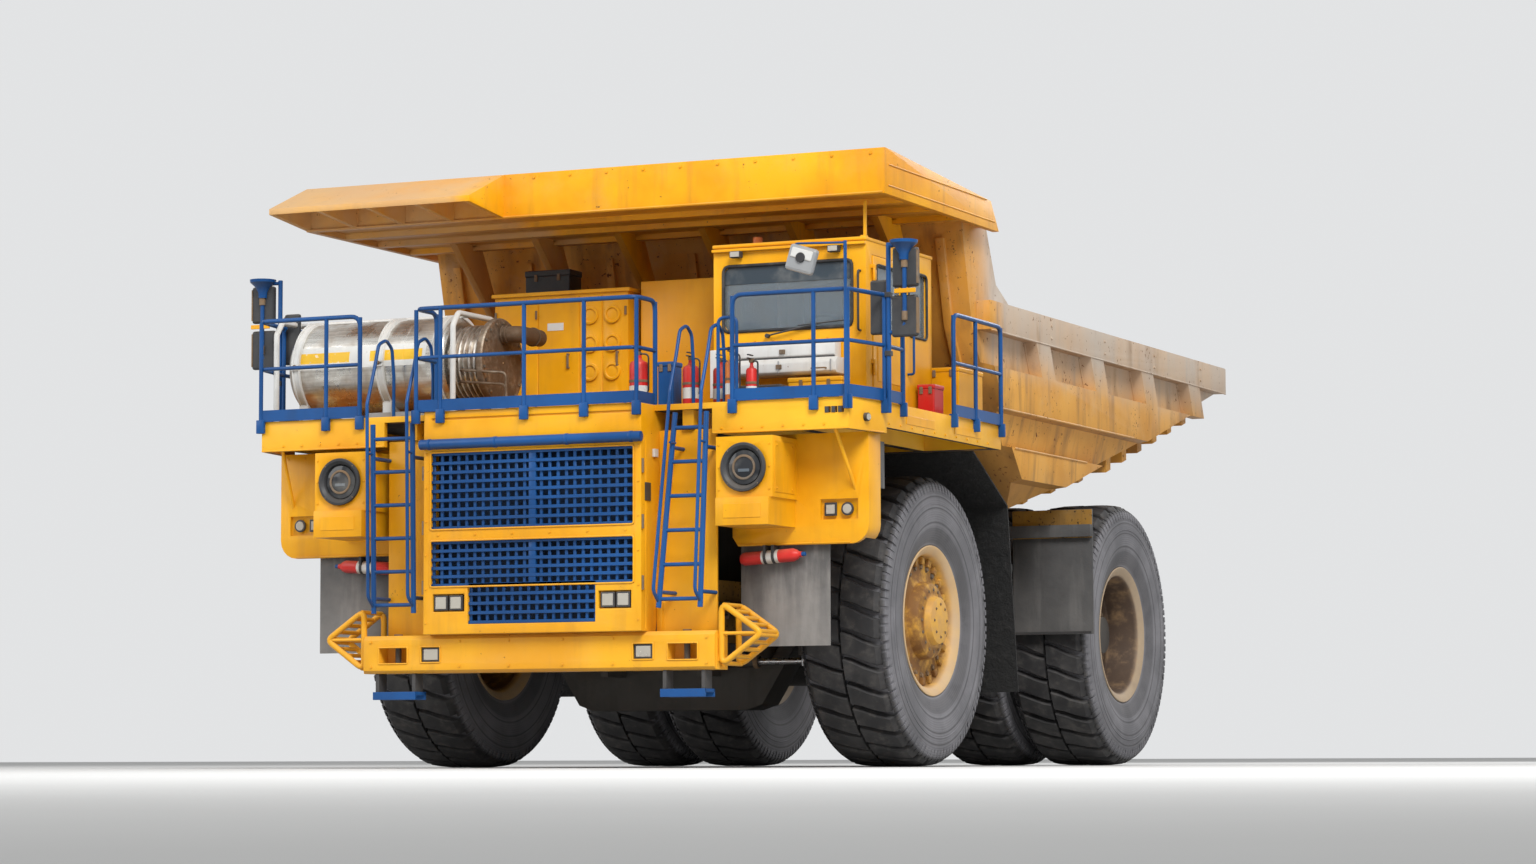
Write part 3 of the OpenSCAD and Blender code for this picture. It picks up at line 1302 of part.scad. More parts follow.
module hoist_stage() {
    color(steel) hoist_part(hoist_d / 2 - 24 - seat_gap, hoist_d / 2 - 58, 160, hoist_len - 190);
}

module hoist_rod() {
    color(steel) difference() {
        union() {
            hoist_part(hoist_d / 2 - 58 - seat_gap, 0, 230, hoist_len - 110);
            xcyl(hoist_x - 70, hoist_x + 70, ya + hoist_up_y, hoist_up_z, 90 + 2 * eye_gap + 80);
        }
        xcyl(hoist_x - 80, hoist_x + 80, ya + hoist_up_y, hoist_up_z, 90 + 2 * eye_gap);
    }
}

module hoist_barrel_left() {
    hoist_barrel();
}

module hoist_barrel_right() {
    mirror([1, 0, 0]) hoist_barrel();
}

module hoist_stage_left() {
    hoist_stage();
}

module hoist_stage_right() {
    mirror([1, 0, 0]) hoist_stage();
}

module hoist_rod_left() {
    hoist_rod();
}

module hoist_rod_right() {
    mirror([1, 0, 0]) hoist_rod();
}

frame_rails();
power_unit();
front_axle();
rear_axle();
bumper();
bumper_guards();
hood();
radiator();
grille();
ladders();
deck();
wings();
lamps();
rubber_flaps();
extinguishers();
rails_centre();
rails_left();
rails_right();
cab_shell();
cab_glass();
cab_interior();
cab_locker();
mirrors();
brake_resistor();
resistor_piping();
control_cabinet();
deck_boxes();
bulkhead();
side_tanks();
cab_door();
door_glass();
knuckle_left();
knuckle_right();
tie_rod();
steer_barrel_left();
steer_barrel_right();
steer_rod_left();
steer_rod_right();
front_rim_left();
front_rim_right();
front_tyre_left();
front_tyre_right();
rear_rims_left();
rear_rims_right();
rear_tyres_left();
rear_tyres_right();
bed_shell();
canopy();
hoist_barrel_left();
hoist_barrel_right();
hoist_stage_left();
hoist_stage_right();
hoist_rod_left();
hoist_rod_right();
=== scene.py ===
import json
import math
import bmesh
import bpy
from mathutils import Matrix, Vector


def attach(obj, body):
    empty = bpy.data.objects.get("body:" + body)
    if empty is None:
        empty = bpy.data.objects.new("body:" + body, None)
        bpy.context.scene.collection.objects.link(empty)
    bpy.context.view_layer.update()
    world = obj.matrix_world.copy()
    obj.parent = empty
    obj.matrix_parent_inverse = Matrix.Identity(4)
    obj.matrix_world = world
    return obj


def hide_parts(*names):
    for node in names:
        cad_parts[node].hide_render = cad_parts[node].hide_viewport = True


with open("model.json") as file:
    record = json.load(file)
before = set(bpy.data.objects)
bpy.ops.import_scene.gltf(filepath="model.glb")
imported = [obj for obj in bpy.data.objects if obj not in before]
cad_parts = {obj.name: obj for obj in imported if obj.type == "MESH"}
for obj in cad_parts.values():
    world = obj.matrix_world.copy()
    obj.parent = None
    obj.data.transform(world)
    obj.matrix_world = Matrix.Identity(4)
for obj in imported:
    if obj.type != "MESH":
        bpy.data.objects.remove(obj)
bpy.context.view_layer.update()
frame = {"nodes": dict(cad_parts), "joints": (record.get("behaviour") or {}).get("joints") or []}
jointAt = {joint["name"]: joint.get("pos_m") for joint in frame["joints"]}
frontY, hubZ = jointAt["spin_front_left"][1:]  # every place along the truck is counted from the front axle
rearY = jointAt["spin_rear_left"][1]
print("frame loaded, front axle at", frontY)


# Shader maths: a socket that adds, subtracts and multiplies by making Math nodes
class Wire:
    def __init__(self, shade, socket):
        self.shade = shade
        self.socket = socket

    def sum(self, kind, first, second, clamp=False):
        settings = {"operation": kind, "use_clamp": clamp}
        return self.shade.node("ShaderNodeMath", settings, {0: first, 1: second})

    def __add__(self, other):
        return self.sum("ADD", self, other)

    def __sub__(self, other):
        return self.sum("SUBTRACT", self, other)

    def __rsub__(self, other):
        return self.sum("SUBTRACT", other, self)

    def __mul__(self, other):
        return self.sum("MULTIPLY", self, other)

    __radd__ = __add__
    __rmul__ = __mul__

    def clip(self):
        return self.sum("ADD", self, 0, clamp=True)

    def away(self):
        return self.sum("ABSOLUTE", self, 0)

    def rise(self, low, high):  # 0 below low, 1 above high, smooth between
        values = {0: self, 1: low, 2: high, 3: 0, 4: 1}
        return self.shade.node("ShaderNodeMapRange", {"interpolation_type": "SMOOTHSTEP"}, values)


class Shade:
    def __init__(self, name, **fixed):
        self.material = bpy.data.materials.new(name)
        self.material.use_nodes = True
        self.tree = self.material.node_tree
        self.surface = self.tree.nodes["Principled BSDF"]
        for key, value in fixed.items():
            self.surface.inputs[key.replace("_", " ")].default_value = value
        self.place = self.node("ShaderNodeTexCoord", {}, {}, "Object")
        self.lastBump = None

    def node(self, kind, settings, values, out=0):
        made = self.tree.nodes.new(kind)
        for key, value in settings.items():
            setattr(made, key, value)
        for key, value in values.items():
            if isinstance(value, Wire):
                self.tree.links.new(value.socket, made.inputs[key])
            else:
                made.inputs[key].default_value = value
        return Wire(self, made.outputs[out])

    def scaled(self, stretch):
        return self.node("ShaderNodeVectorMath", {"operation": "MULTIPLY"}, {0: self.place, 1: stretch})

    def noise(self, scale, detail=3, stretch=None, rough=0.55):
        where = self.scaled(stretch) if stretch else self.place
        values = {"Vector": where, "Scale": scale, "Detail": detail, "Roughness": rough}
        return self.node("ShaderNodeTexNoise", {}, values, "Fac")

    def flakes(self, start):
        return (self.noise(17, 6, rough=0.7) + self.noise(2.1, 2) * 0.22).rise(start, start + 0.03)

    def axis(self, which):
        return self.node("ShaderNodeSeparateXYZ", {}, {0: self.place}, which)

    def facing(self):  # 1 where the surface looks up
        normal = self.node("ShaderNodeNewGeometry", {}, {}, "Normal")
        return self.node("ShaderNodeSeparateXYZ", {}, {0: normal}, 2)

    def reach(self, centre):  # distance from a line along X through (y, z)
        values = {0: self.scaled((0, 1, 1)), 1: (0, *centre)}
        return self.node("ShaderNodeVectorMath", {"operation": "DISTANCE"}, values, "Value")

    def mix(self, factor, low, high):
        values = {0: factor}
        for key, colour in ((6, low), (7, high)):
            values[key] = colour if isinstance(colour, Wire) else (*colour, 1)
        return self.node("ShaderNodeMix", {"data_type": "RGBA"}, values, 2)

    def feed(self, key, wire):
        self.tree.links.new(wire.socket, self.surface.inputs[key])

    def bump(self, height, strength, distance):
        values = {"Height": height, "Strength": strength, "Distance": distance}
        if self.lastBump:
            values["Normal"] = self.lastBump
        self.lastBump = self.node("ShaderNodeBump", {}, values, "Normal")
        self.feed("Normal", self.lastBump)


paints = {
    "yellowPaint": {"light": (0.88, 0.42, 0.006), "deep": (0.76, 0.33, 0.003), "dust": (0.62, 0.42, 0.20),
                    "dusty": 0.22, "streak": (0.40, 0.19, 0.03), "streaky": 0.22, "chips": 0.70,
                    "under": (0.14, 0.05, 0.02), "rough": 0.38},
    "dustyPaint": {"light": (0.74, 0.37, 0.070), "deep": (0.62, 0.28, 0.04), "dust": (0.56, 0.43, 0.31),
                   "dusty": 0.85, "streak": (0.24, 0.12, 0.045), "streaky": 0.55, "chips": 0.64,
                   "under": (0.17, 0.07, 0.03), "rough": 0.62, "rail": (0.50, 0.455, 0.40)},
    "canopyPaint": {"light": (0.88, 0.41, 0.006), "deep": (0.74, 0.30, 0.003), "dust": (0.56, 0.38, 0.22),
                    "dusty": 0.40, "right": 0.65, "streak": (0.36, 0.16, 0.03), "streaky": 0.30,
                    "chips": 0.68, "under": (0.15, 0.06, 0.02), "rough": 0.48},
    "bluePaint": {"light": (0.008, 0.080, 0.27), "deep": (0.005, 0.055, 0.19), "dust": (0.16, 0.17, 0.18),
                  "dusty": 0.07, "streak": (0.03, 0.04, 0.06), "streaky": 0.15, "chips": 0.70,
                  "under": (0.10, 0.05, 0.03), "rough": 0.40},
    "framePaint": {"light": (0.40, 0.20, 0.02), "deep": (0.18, 0.10, 0.03), "dust": (0.22, 0.18, 0.14),
                   "dusty": 0.75, "streak": (0.05, 0.04, 0.03), "streaky": 0.60, "chips": 0.60,
                   "under": (0.05, 0.03, 0.02), "rough": 0.66},
    "redPaint": {"light": (0.66, 0.022, 0.018), "deep": (0.52, 0.015, 0.014), "dust": (0.40, 0.25, 0.18),
                 "dusty": 0.30, "streak": (0.25, 0.02, 0.02), "streaky": 0.2, "chips": 0.70,
                 "under": (0.12, 0.06, 0.05), "rough": 0.35},
    "whitePaint": {"light": (0.74, 0.74, 0.72), "deep": (0.60, 0.60, 0.58), "dust": (0.45, 0.38, 0.29),
                   "dusty": 0.35, "streak": (0.34, 0.28, 0.21), "streaky": 0.35, "chips": 0.70,
                   "under": (0.20, 0.12, 0.07), "rough": 0.45},
    "darkPaint": {"light": (0.050, 0.052, 0.056), "deep": (0.030, 0.031, 0.034), "dust": (0.20, 0.17, 0.14),
                  "dusty": 0.40, "streak": (0.02, 0.02, 0.02), "streaky": 0.2, "chips": 0.72,
                  "under": (0.10, 0.06, 0.04), "rough": 0.50},
    "coreBlue": {"light": (0.006, 0.030, 0.085), "deep": (0.004, 0.018, 0.050), "dust": (0.10, 0.10, 0.10),
                 "dusty": 0.25, "streak": (0.01, 0.01, 0.012), "streaky": 0.3, "chips": 0.75,
                 "under": (0.06, 0.05, 0.05), "rough": 0.6},
    "greasySteel": {"light": (0.060, 0.055, 0.050), "deep": (0.028, 0.026, 0.025),
                    "dust": (0.17, 0.15, 0.125), "dusty": 0.65, "streak": (0.012, 0.011, 0.010),
                    "streaky": 0.5, "chips": 0.66, "under": (0.13, 0.09, 0.07), "rough": 0.55},
}


def makePaint(name, look):
    shade = Shade(name, Coat_Roughness=0.3, Specular_IOR_Level=0.2)
    slow = shade.noise(0.9, 4)
    colour = shade.mix(slow.rise(0.35, 0.65), look["deep"], look["light"])
    streaks = shade.noise(5.5, 5, (1, 1, 0.12)).rise(0.50, 0.72)
    colour = shade.mix(streaks * look["streaky"], colour, look["streak"])
    settled = (shade.facing() * 0.55 + shade.noise(2.3, 6) * 0.9 + shade.noise(22, 3) * 0.25).rise(0.45, 1.25)
    low = 1 - shade.axis(2).rise(0.4, 3.2)
    dust = ((settled + low * 0.35) * look["dusty"]).clip()
    colour = shade.mix(dust, colour, look["dust"])
    if "rail" in look:  # pale dust along the top of the bed's sides
        powder = shade.axis(2).rise(4.05, 4.62) * shade.axis(1).rise(frontY + 0.8, frontY + 1.3)
        powder = powder * (shade.noise(1.7, 5, (1, 1, 0.5)) * 0.8 + 0.40) * 0.9
        colour = shade.mix(powder, colour, look["rail"])
        stains = shade.noise(2.2, 6, (1, 1, 0.35)).rise(0.52, 0.72) * 0.55
        colour = shade.mix(stains, colour, look["streak"])
    if "right" in look:  # the canopy's right end is weathered paler
        weathered = (1 - shade.axis(0).rise(-1.25, -0.95)) * look["right"]
        colour = shade.mix(weathered * shade.noise(1.1, 5).rise(0.2, 0.6), colour, look["dust"])
    # painted shade: faces that look down are darkened in patches, using the streak colour as the shade tone
    underShade = (shade.facing() * -1).rise(0.2, 0.9) * (shade.noise(1.9, 5) * 0.6 + 0.35)
    colour = shade.mix(underShade, colour, look["streak"])
    chips = shade.flakes(look["chips"] + 0.10)
    colour = shade.mix(chips, colour, look["under"])
    shade.feed("Base Color", colour)
    shade.feed("Roughness", (dust * 0.45 + chips * 0.2 + slow * 0.12 + look["rough"] - 0.06).clip())
    shade.feed("Coat Weight", (1 - dust - chips).clip() * 0.15)
    shade.bump(shade.noise(3.1, 2), 0.12, 0.012)  # slight waves of pressed sheet
    shade.bump(shade.noise(160, 2) + dust * shade.noise(60, 4) - chips * 0.6, 0.10, 0.0012)
    return shade.material


paints["greyPlastic"] = dict(paints["whitePaint"], light=(0.38, 0.39, 0.40), deep=(0.28, 0.29, 0.30),
                             rough=0.35)
paints["orangePaint"] = dict(paints["redPaint"], light=(0.70, 0.20, 0.03), deep=(0.55, 0.15, 0.03))
materials = {name: makePaint(name, look) for name, look in paints.items()}
print("paints made")


# Rubber and metals
def makeTyreRubber(name, axleY):
    shade = Shade(name)
    radius = shade.reach((axleY, hubZ))
    rings = (radius * 260).sum("SINE", radius * 260, 0) * 0.5 + 0.5
    mottled = shade.noise(4.5, 6)
    base = shade.mix(mottled.rise(0.35, 0.7), (0.022, 0.021, 0.022), (0.052, 0.049, 0.048))
    side = 1 - radius.rise(1.405, 1.45)
    tone = (shade.noise(1.6, 3) + rings * 0.12).rise(0.35, 0.75)
    dustTone = shade.mix(tone, (0.130, 0.128, 0.138), (0.220, 0.215, 0.230))
    dust = (side * (mottled * 0.5 + shade.noise(30, 3) * 0.3 + 0.62)).clip()
    band = radius.rise(0.80, 0.83) * (1 - radius.rise(0.95, 0.99)) * 0.45
    for groove in (1.02, 1.17, 1.29):
        band = band + (1 - ((radius - groove).away()).rise(0.003, 0.012)) * 0.6
    dust = (dust - band * side).clip()
    colour = shade.mix(dust, base, dustTone)
    crumbs = shade.noise(9, 6, rough=0.65).rise(0.50, 0.72) * (1 - side) * 0.30
    colour = shade.mix(crumbs, colour, (0.13, 0.115, 0.10))
    shade.feed("Base Color", colour)
    shade.feed("Roughness", (mottled * 0.2 + dust * 0.12 + 0.62).clip())
    shade.bump(shade.noise(26, 5), 0.35, 0.006)
    shade.bump(shade.noise(190, 2) + rings * side * 0.4, 0.25, 0.0015)
    shade.bump(band * -1, 0.6, 0.006)
    return shade.material


def makeFlapRubber():
    shade = Shade("flapRubber")
    mottled = shade.noise(2.2, 6)
    streaks = shade.noise(6, 5, (1, 1, 0.15)).rise(0.45, 0.75)
    low = 1 - shade.axis(2).rise(1.0, 2.4)
    dust = (mottled * 0.7 + low * 0.4 + streaks * 0.25).rise(0.2, 0.95)
    y = shade.axis(1)
    # the sheet behind the front wheel
    tar = y.rise(frontY + 0.6, frontY + 0.7) * (1 - y.rise(frontY + 2.3, frontY + 2.4))
    lumps = shade.noise(9, 8, rough=0.75)
    cleaner = 1 - y.rise(frontY + 3.0, frontY + 3.2) * 0.55  # the sheet ahead of the rear wheel
    colour = shade.mix(dust * cleaner, (0.055, 0.054, 0.054), (0.27, 0.255, 0.24))
    crust = shade.mix(lumps.rise(0.5, 0.8), (0.012, 0.012, 0.012), (0.055, 0.052, 0.050))
    shade.feed("Base Color", shade.mix(tar * 0.96, colour, crust))
    shade.feed("Roughness", dust * 0.2 + 0.65)
    shade.bump(shade.noise(7, 4), 0.35, 0.02)
    shade.bump(lumps * tar, 1.0, 0.12)
    shade.bump(shade.noise(120, 3), 0.2, 0.002)
    return shade.material


def makeMetal(name, look):
    shade = Shade(name, Metallic=look["metal"])
    grain = shade.noise(look["grain"], 3, look["along"])
    darkening = (shade.noise(1.7, 5) + shade.noise(11, 4) * 0.35).rise(look["dirtFrom"], look["dirtFrom"] + 0.35)
    colour = shade.mix(grain.rise(0.3, 0.7), look["deep"], look["light"])
    shade.feed("Base Color", shade.mix(darkening * look["dirty"], colour, look["dirt"]))
    shade.feed("Roughness", (grain * 0.15 + darkening * 0.35 + look["rough"]).clip())
    shade.bump(grain, 0.08, 0.0008)
    shade.bump(shade.noise(2.6, 2), 0.10, 0.01)
    return shade.material


metals = {
    "heatedSteel": {"light": (0.42, 0.36, 0.29), "deep": (0.24, 0.18, 0.13), "dirt": (0.13, 0.075, 0.04),
                    "dirty": 0.9, "dirtFrom": 0.42, "metal": 0.75, "rough": 0.36, "grain": 30,
                    "along": (0.2, 1, 1)},
    "chromedRod": {"light": (0.76, 0.76, 0.77), "deep": (0.66, 0.66, 0.67), "dirt": (0.14, 0.11, 0.08),
                   "dirty": 0.35, "dirtFrom": 0.60, "metal": 1.0, "rough": 0.14, "grain": 90,
                   "along": (1, 1, 0.1)},
    "crumpledFoil": {"light": (0.78, 0.75, 0.70), "deep": (0.48, 0.42, 0.36), "dirt": (0.24, 0.13, 0.06),
                     "dirty": 0.8, "dirtFrom": 0.62, "metal": 0.9, "rough": 0.22, "grain": 14,
                     "along": (1, 1, 1)},
    "boltSteel": {"light": (0.20, 0.17, 0.14), "deep": (0.10, 0.085, 0.07), "dirt": (0.30, 0.19, 0.10),
                  "dirty": 0.8, "dirtFrom": 0.45, "metal": 0.5, "rough": 0.45, "grain": 20,
                  "along": (1, 1, 1)},
}
for name, look in metals.items():
    materials[name] = makeMetal(name, look)
axles = {"front": frontY, "rear": rearY}
for end, axleY in axles.items():
    name = end + "TyreRubber"
    materials[name] = makeTyreRubber(name, axleY)
materials["flapRubber"] = makeFlapRubber()


def makeRimPaint(name, axleY, look):  # rust inside the nut ring, dust on the flange
    shade = Shade(name, Specular_IOR_Level=0.3)
    radius = shade.reach((axleY, hubZ))
    patches = shade.noise(5.5, 6, rough=0.65)
    colour = shade.mix(patches.rise(0.35, 0.65), look["paint"], look["worn"])
    middle = radius.rise(look["from"], look["from"] + 0.06) * (1 - radius.rise(0.66, 0.70))
    rust = (middle * look["rusty"] * (patches + shade.noise(1.5, 3) * 0.5).rise(0.45, 0.85)).clip()
    colour = shade.mix(rust, colour, look["rust"])
    dust = (radius.rise(0.66, 0.71) * 0.55 + shade.noise(2.4, 5) * 0.45).rise(0.30, 0.95)
    colour = shade.mix(dust * 0.8, colour, look["dust"])
    shade.feed("Base Color", colour)
    shade.feed("Roughness", (dust * 0.2 + rust * 0.2 + 0.48).clip())
    shade.bump(patches, 0.3, 0.004)
    shade.bump(shade.noise(120, 3), 0.15, 0.001)
    return shade.material


rimLooks = {
    "frontRimPaint": {"paint": (0.74, 0.40, 0.06), "worn": (0.60, 0.33, 0.10), "rust": (0.16, 0.065, 0.02),
                      "rusty": 0.85, "from": 0.24, "dust": (0.60, 0.46, 0.31)},
    "rearRimPaint": {"paint": (0.30, 0.19, 0.10), "worn": (0.17, 0.12, 0.09), "rust": (0.085, 0.055, 0.038),
                     "rusty": 1.0, "from": 0.02, "dust": (0.52, 0.40, 0.27)},
}
for end, axleY in axles.items():
    name = end + "RimPaint"
    materials[name] = makeRimPaint(name, axleY, rimLooks[name])


def makeGlass(name, tint, rough, seeThrough):
    shade = Shade(name, IOR=1.45, Transmission_Weight=seeThrough)
    film = shade.noise(3, 5).rise(0.45, 0.8)
    shade.feed("Base Color", shade.mix(film * 0.35, tint, (0.40, 0.38, 0.34)))
    shade.feed("Roughness", film * 0.25 + rough)
    shade.bump(shade.noise(1.5, 2), 0.05, 0.004)
    return shade.material


glasses = {"cabGlass": ((0.42, 0.50, 0.56), 0.05, 0.75), "tintBand": ((0.035, 0.05, 0.065), 0.12, 0.0),
           "lampGlass": ((0.62, 0.58, 0.50), 0.12, 0.30), "headlampGlass": ((0.02, 0.022, 0.026), 0.06, 0.0),
           "mirrorGlass": ((0.10, 0.12, 0.14), 0.05, 0.0)}
for name, look in glasses.items():
    materials[name] = makeGlass(name, *look)
print("rubber, metals and glass made")


# Modelling moves
def pick(obj):
    bpy.ops.object.select_all(action="DESELECT")
    obj.select_set(True)
    bpy.context.view_layer.objects.active = obj
    return obj


def settle(obj):
    pick(obj)
    bpy.ops.object.transform_apply(location=True, rotation=True, scale=True)
    return obj


def modify(obj, kind, **settings):
    pick(obj)
    modifier = obj.modifiers.new(kind.title(), kind)
    for key, value in settings.items():
        setattr(modifier, key, value)
    bpy.ops.object.modifier_apply(modifier=modifier.name)
    return obj


def soften(obj, width, segments=2, angle=35):
    limit = math.radians(angle)
    return modify(obj, "BEVEL", width=width, segments=segments, limit_method="ANGLE", angle_limit=limit)


def smooth(obj, angle=35):
    pick(obj)
    bpy.ops.object.shade_smooth_by_angle(angle=math.radians(angle))
    return obj


def enterEdit(obj):  # edit mode with everything selected
    pick(obj)
    bpy.ops.object.mode_set(mode="EDIT")
    bpy.ops.mesh.select_all(action="SELECT")


def leaveEdit(recalculate=True):
    if recalculate:
        bpy.ops.mesh.select_all(action="SELECT")
        bpy.ops.mesh.normals_make_consistent(inside=False)
    bpy.ops.object.mode_set(mode="OBJECT")


def twinOf(source, place=Matrix()):  # a copy with its own mesh
    twin = source.copy()
    twin.data = source.data.copy()
    twin.data.transform(place)
    bpy.context.scene.collection.objects.link(twin)
    return twin


def block(low, high, edge=0.0, segments=2):
    low, high = Vector(low), Vector(high)
    bpy.ops.object.select_all(action="DESELECT")
    bpy.ops.mesh.primitive_cube_add(size=1, location=(low + high) / 2, scale=high - low)
    obj = settle(bpy.context.object)
    return soften(obj, edge, segments) if edge else obj


def rod(start, end, radius, sides=16, edge=0.0):
    start, end = Vector(start), Vector(end)
    along = end - start
    bpy.ops.object.select_all(action="DESELECT")
    bpy.ops.mesh.primitive_cone_add(vertices=sides, radius1=radius, radius2=radius, depth=along.length,
                                    location=(start + end) / 2,
                                    rotation=along.to_track_quat("Z", "Y").to_euler())
    obj = settle(bpy.context.object)
    return soften(obj, edge, 2, 50) if edge else obj


def rounded(points, bend, steps=5):  # the points with their corners rounded
    points = [Vector(p) for p in points]
    path = [points[0]]
    for before, corner, after in zip(points, points[1:], points[2:]):
        toBefore, toAfter = before - corner, after - corner
        half = toBefore.angle(toAfter) / 2
        if bend <= 0 or half > 1.5:  # nearly straight
            path.append(corner)
            continue
        reach = min(bend / math.tan(half), toBefore.length * 0.49, toAfter.length * 0.49)
        first, last = corner + toBefore.normalized() * reach, corner + toAfter.normalized() * reach
        for step in range(steps + 1):
            t = step / steps
            path.append(first * (1 - t) ** 2 + corner * 2 * t * (1 - t) + last * t * t)
    return path + [points[-1]]


def tube(points, radius, bend=0.0, sides=3):
    bpy.ops.object.select_all(action="DESELECT")
    bpy.ops.curve.primitive_nurbs_path_add()
    obj = bpy.context.object
    path = rounded(points, bend)
    obj.data.splines.clear()
    spline = obj.data.splines.new("POLY")
    spline.points.add(len(path) - 1)
    for spot, point in zip(spline.points, path):
        spot.co = (*point, 1)
    obj.data.bevel_depth = radius
    obj.data.bevel_resolution = sides
    obj.data.use_fill_caps = True
    pick(obj)
    obj.location = (0, 0, 0)
    bpy.ops.object.convert(target="MESH")
    return smooth(settle(bpy.context.object), 50)


def drawLine(points, closed=False):  # one vertex, extruded from point to point
    points = [Vector(p) for p in points]
    bpy.ops.object.select_all(action="DESELECT")
    bpy.ops.mesh.primitive_plane_add(size=0.01, location=points[0])
    obj = settle(bpy.context.object)
    enterEdit(obj)
    bpy.ops.mesh.merge(type="CENTER")
    for before, after in zip(points, points[1:]):
        bpy.ops.mesh.extrude_region_move(TRANSFORM_OT_translate={"value": after - before})
    if closed:
        bpy.ops.mesh.select_all(action="SELECT")
        bpy.ops.mesh.edge_face_add()
    leaveEdit(False)
    return obj


# profile of (x, radius), turned round a line along X through (y, z)
def lathe(profile, centre, steps=64, side=1):
    obj = drawLine([(side * x, centre[0], centre[1] + radius) for x, radius in profile])
    enterEdit(obj)
    bpy.ops.mesh.spin(steps=steps, angle=math.tau, center=(0, *centre), axis=(1, 0, 0))
    bpy.ops.mesh.select_all(action="SELECT")
    bpy.ops.mesh.remove_doubles(threshold=0.00002)
    leaveEdit()
    return smooth(obj, 30)


def loft(sections):  # a face extruded from each section to the next
    obj = drawLine(sections[0], closed=True)
    enterEdit(obj)
    current = sections[0]
    for section in sections[1:]:
        bpy.ops.mesh.extrude_region_move(TRANSFORM_OT_translate={"value": (0, 0, 0)})
        mesh = bmesh.from_edit_mesh(obj.data)
        for vertex in [v for v in mesh.verts if v.select]:
            nearest = min(range(len(current)), key=lambda k: (current[k] - vertex.co).length)
            vertex.co = section[nearest]
        bmesh.update_edit_mesh(obj.data)
        current = section
    leaveEdit()
    return obj


def plate(outline, thick):  # a closed outline given a thickness along its normal
    return modify(drawLine(outline, closed=True), "SOLIDIFY", thickness=thick, offset=0)


def paint(obj, name):
    obj.data.materials.clear()
    obj.data.materials.append(materials[name])
    return obj


def join(pieces, name):
    pick(pieces[0])
    for piece in pieces[1:]:
        piece.select_set(True)
    if len(pieces) > 1:
        bpy.ops.object.join()
    obj = bpy.context.view_layer.objects.active
    obj.name = obj.data.name = name
    return obj


def copies(source, places, name="copies"):
    made = [twinOf(source, place) for place in places]
    bpy.data.objects.remove(source)
    return join(made, name)


def mirrored(obj):  # a second mesh on the other side of the truck
    twin = twinOf(obj)
    twin.scale = (-1, 1, 1)
    enterEdit(settle(twin))
    leaveEdit()
    return twin


def finishPiece(obj, name, body, slot, *nodes):
    obj.name = obj.data.name = name
    settle(obj)
    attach(obj, body)
    if nodes:
        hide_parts(*nodes)
    return obj


def rework(node, edge=0.008, finish="yellowPaint", segments=2):  # a merged copy of a CAD node, edges softened
    source = frame["nodes"][node]
    obj = twinOf(source)
    obj.parent = None
    obj.matrix_world = source.matrix_world
    enterEdit(settle(obj))
    bpy.ops.mesh.remove_doubles(threshold=0.00005)
    bpy.ops.mesh.dissolve_limited(angle_limit=math.radians(0.5))
    leaveEdit(False)
    if edge:
        soften(obj, edge, segments, 25)
    return paint(smooth(obj, 30), finish)


def turns(count):  # angles spread evenly round a circle
    return [math.tau * k / count for k in range(count)]


# Parts placed on the truck: y is counted from the front axle
sides = ((1, "left"), (-1, "right"))
toFront, upward = (0, -1, 0), (0, 0, 1)


def at(x, y, z):
    return Vector((x, frontY + y, z))


def box(low, high, finish, edge=0.004):
    return paint(block(at(*low), at(*high), edge), finish)


def span(side, x0, x1, y0, y1, z0, z1, finish, edge=0.004):  # a box on either side of the truck
    low, high = sorted((side * x0, side * x1))
    return box((low, y0, z0), (high, y1, z1), finish, edge)


def bar(start, end, radius, finish, sides=16, edge=0.0):
    return paint(rod(at(*start), at(*end), radius, sides, edge), finish)


def pipe(points, radius, finish, bend=0.0, sides=3):
    return paint(tube([at(*p) for p in points], radius, bend, sides), finish)


def handle(start, end, away, radius, finish, bend):  # a bent bar that stands off its two feet
    start, end, away = Vector(start), Vector(end), Vector(away)
    return pipe([start, start + away, end + away, end], radius, finish, bend)


def weld(points, radius, finish):
    return pipe(points, radius, finish, 0.0, 1)


def windowLoop(axis, place, a0, a1, z0, z1):  # corners of an opening in a wall that stands across that axis
    corners = ((a0, z0), (a1, z0), (a1, z1), (a0, z1))
    return [at(a, place, z) if axis == "y" else at(place, a, z) for a, z in corners]


def gasket(points, width, bend=0.07, finish="blackRubber"):  # one rounded loop round an opening
    middle = (points[0] + points[1]) / 2
    return paint(tube([middle] + points[1:] + [points[0], middle], width, bend), finish)


# faces the front, or with axis "Y" stands upright
def turnedPart(profile, place, finish, steps=40, axis="Z"):
    obj = lathe(profile, (0, 0), steps)
    obj.data.transform(Matrix.Translation(at(*place)) @ Matrix.Rotation(math.radians(-90), 4, axis))
    return paint(obj, finish)


def tilted(obj, place, angle):  # turned about a line along Y through a point
    centre = at(*place)
    obj.data.transform(Matrix.Translation(centre) @ Matrix.Rotation(angle, 4,
                                                                    "Y") @ Matrix.Translation(-centre))
    return obj


def bolts(points, normal, radius, finish="boltSteel"):  # hexagon heads on washers, standing along the normal
    bpy.ops.object.select_all(action="DESELECT")
    bpy.ops.mesh.primitive_cylinder_add(vertices=6, radius=radius, depth=radius * 0.8,
                                        location=(0, 0, radius * 0.5))
    head = soften(settle(bpy.context.object), radius * 0.12, 1)
    washer = rod((0, 0, 0), (0, 0, radius * 0.2), radius * 1.35, 12)
    turn = Vector(normal).to_track_quat("Z", "Y").to_matrix().to_4x4()
    heads = copies(join([head, washer], "bolt"), [Matrix.Translation(p) @ turn for p in points], "bolts")
    return paint(heads, finish)


def onFace(points, normal, radius, finish="yellowPaint"):  # bolts painted over with their plate
    return bolts([at(*p) for p in points], normal, radius, finish)


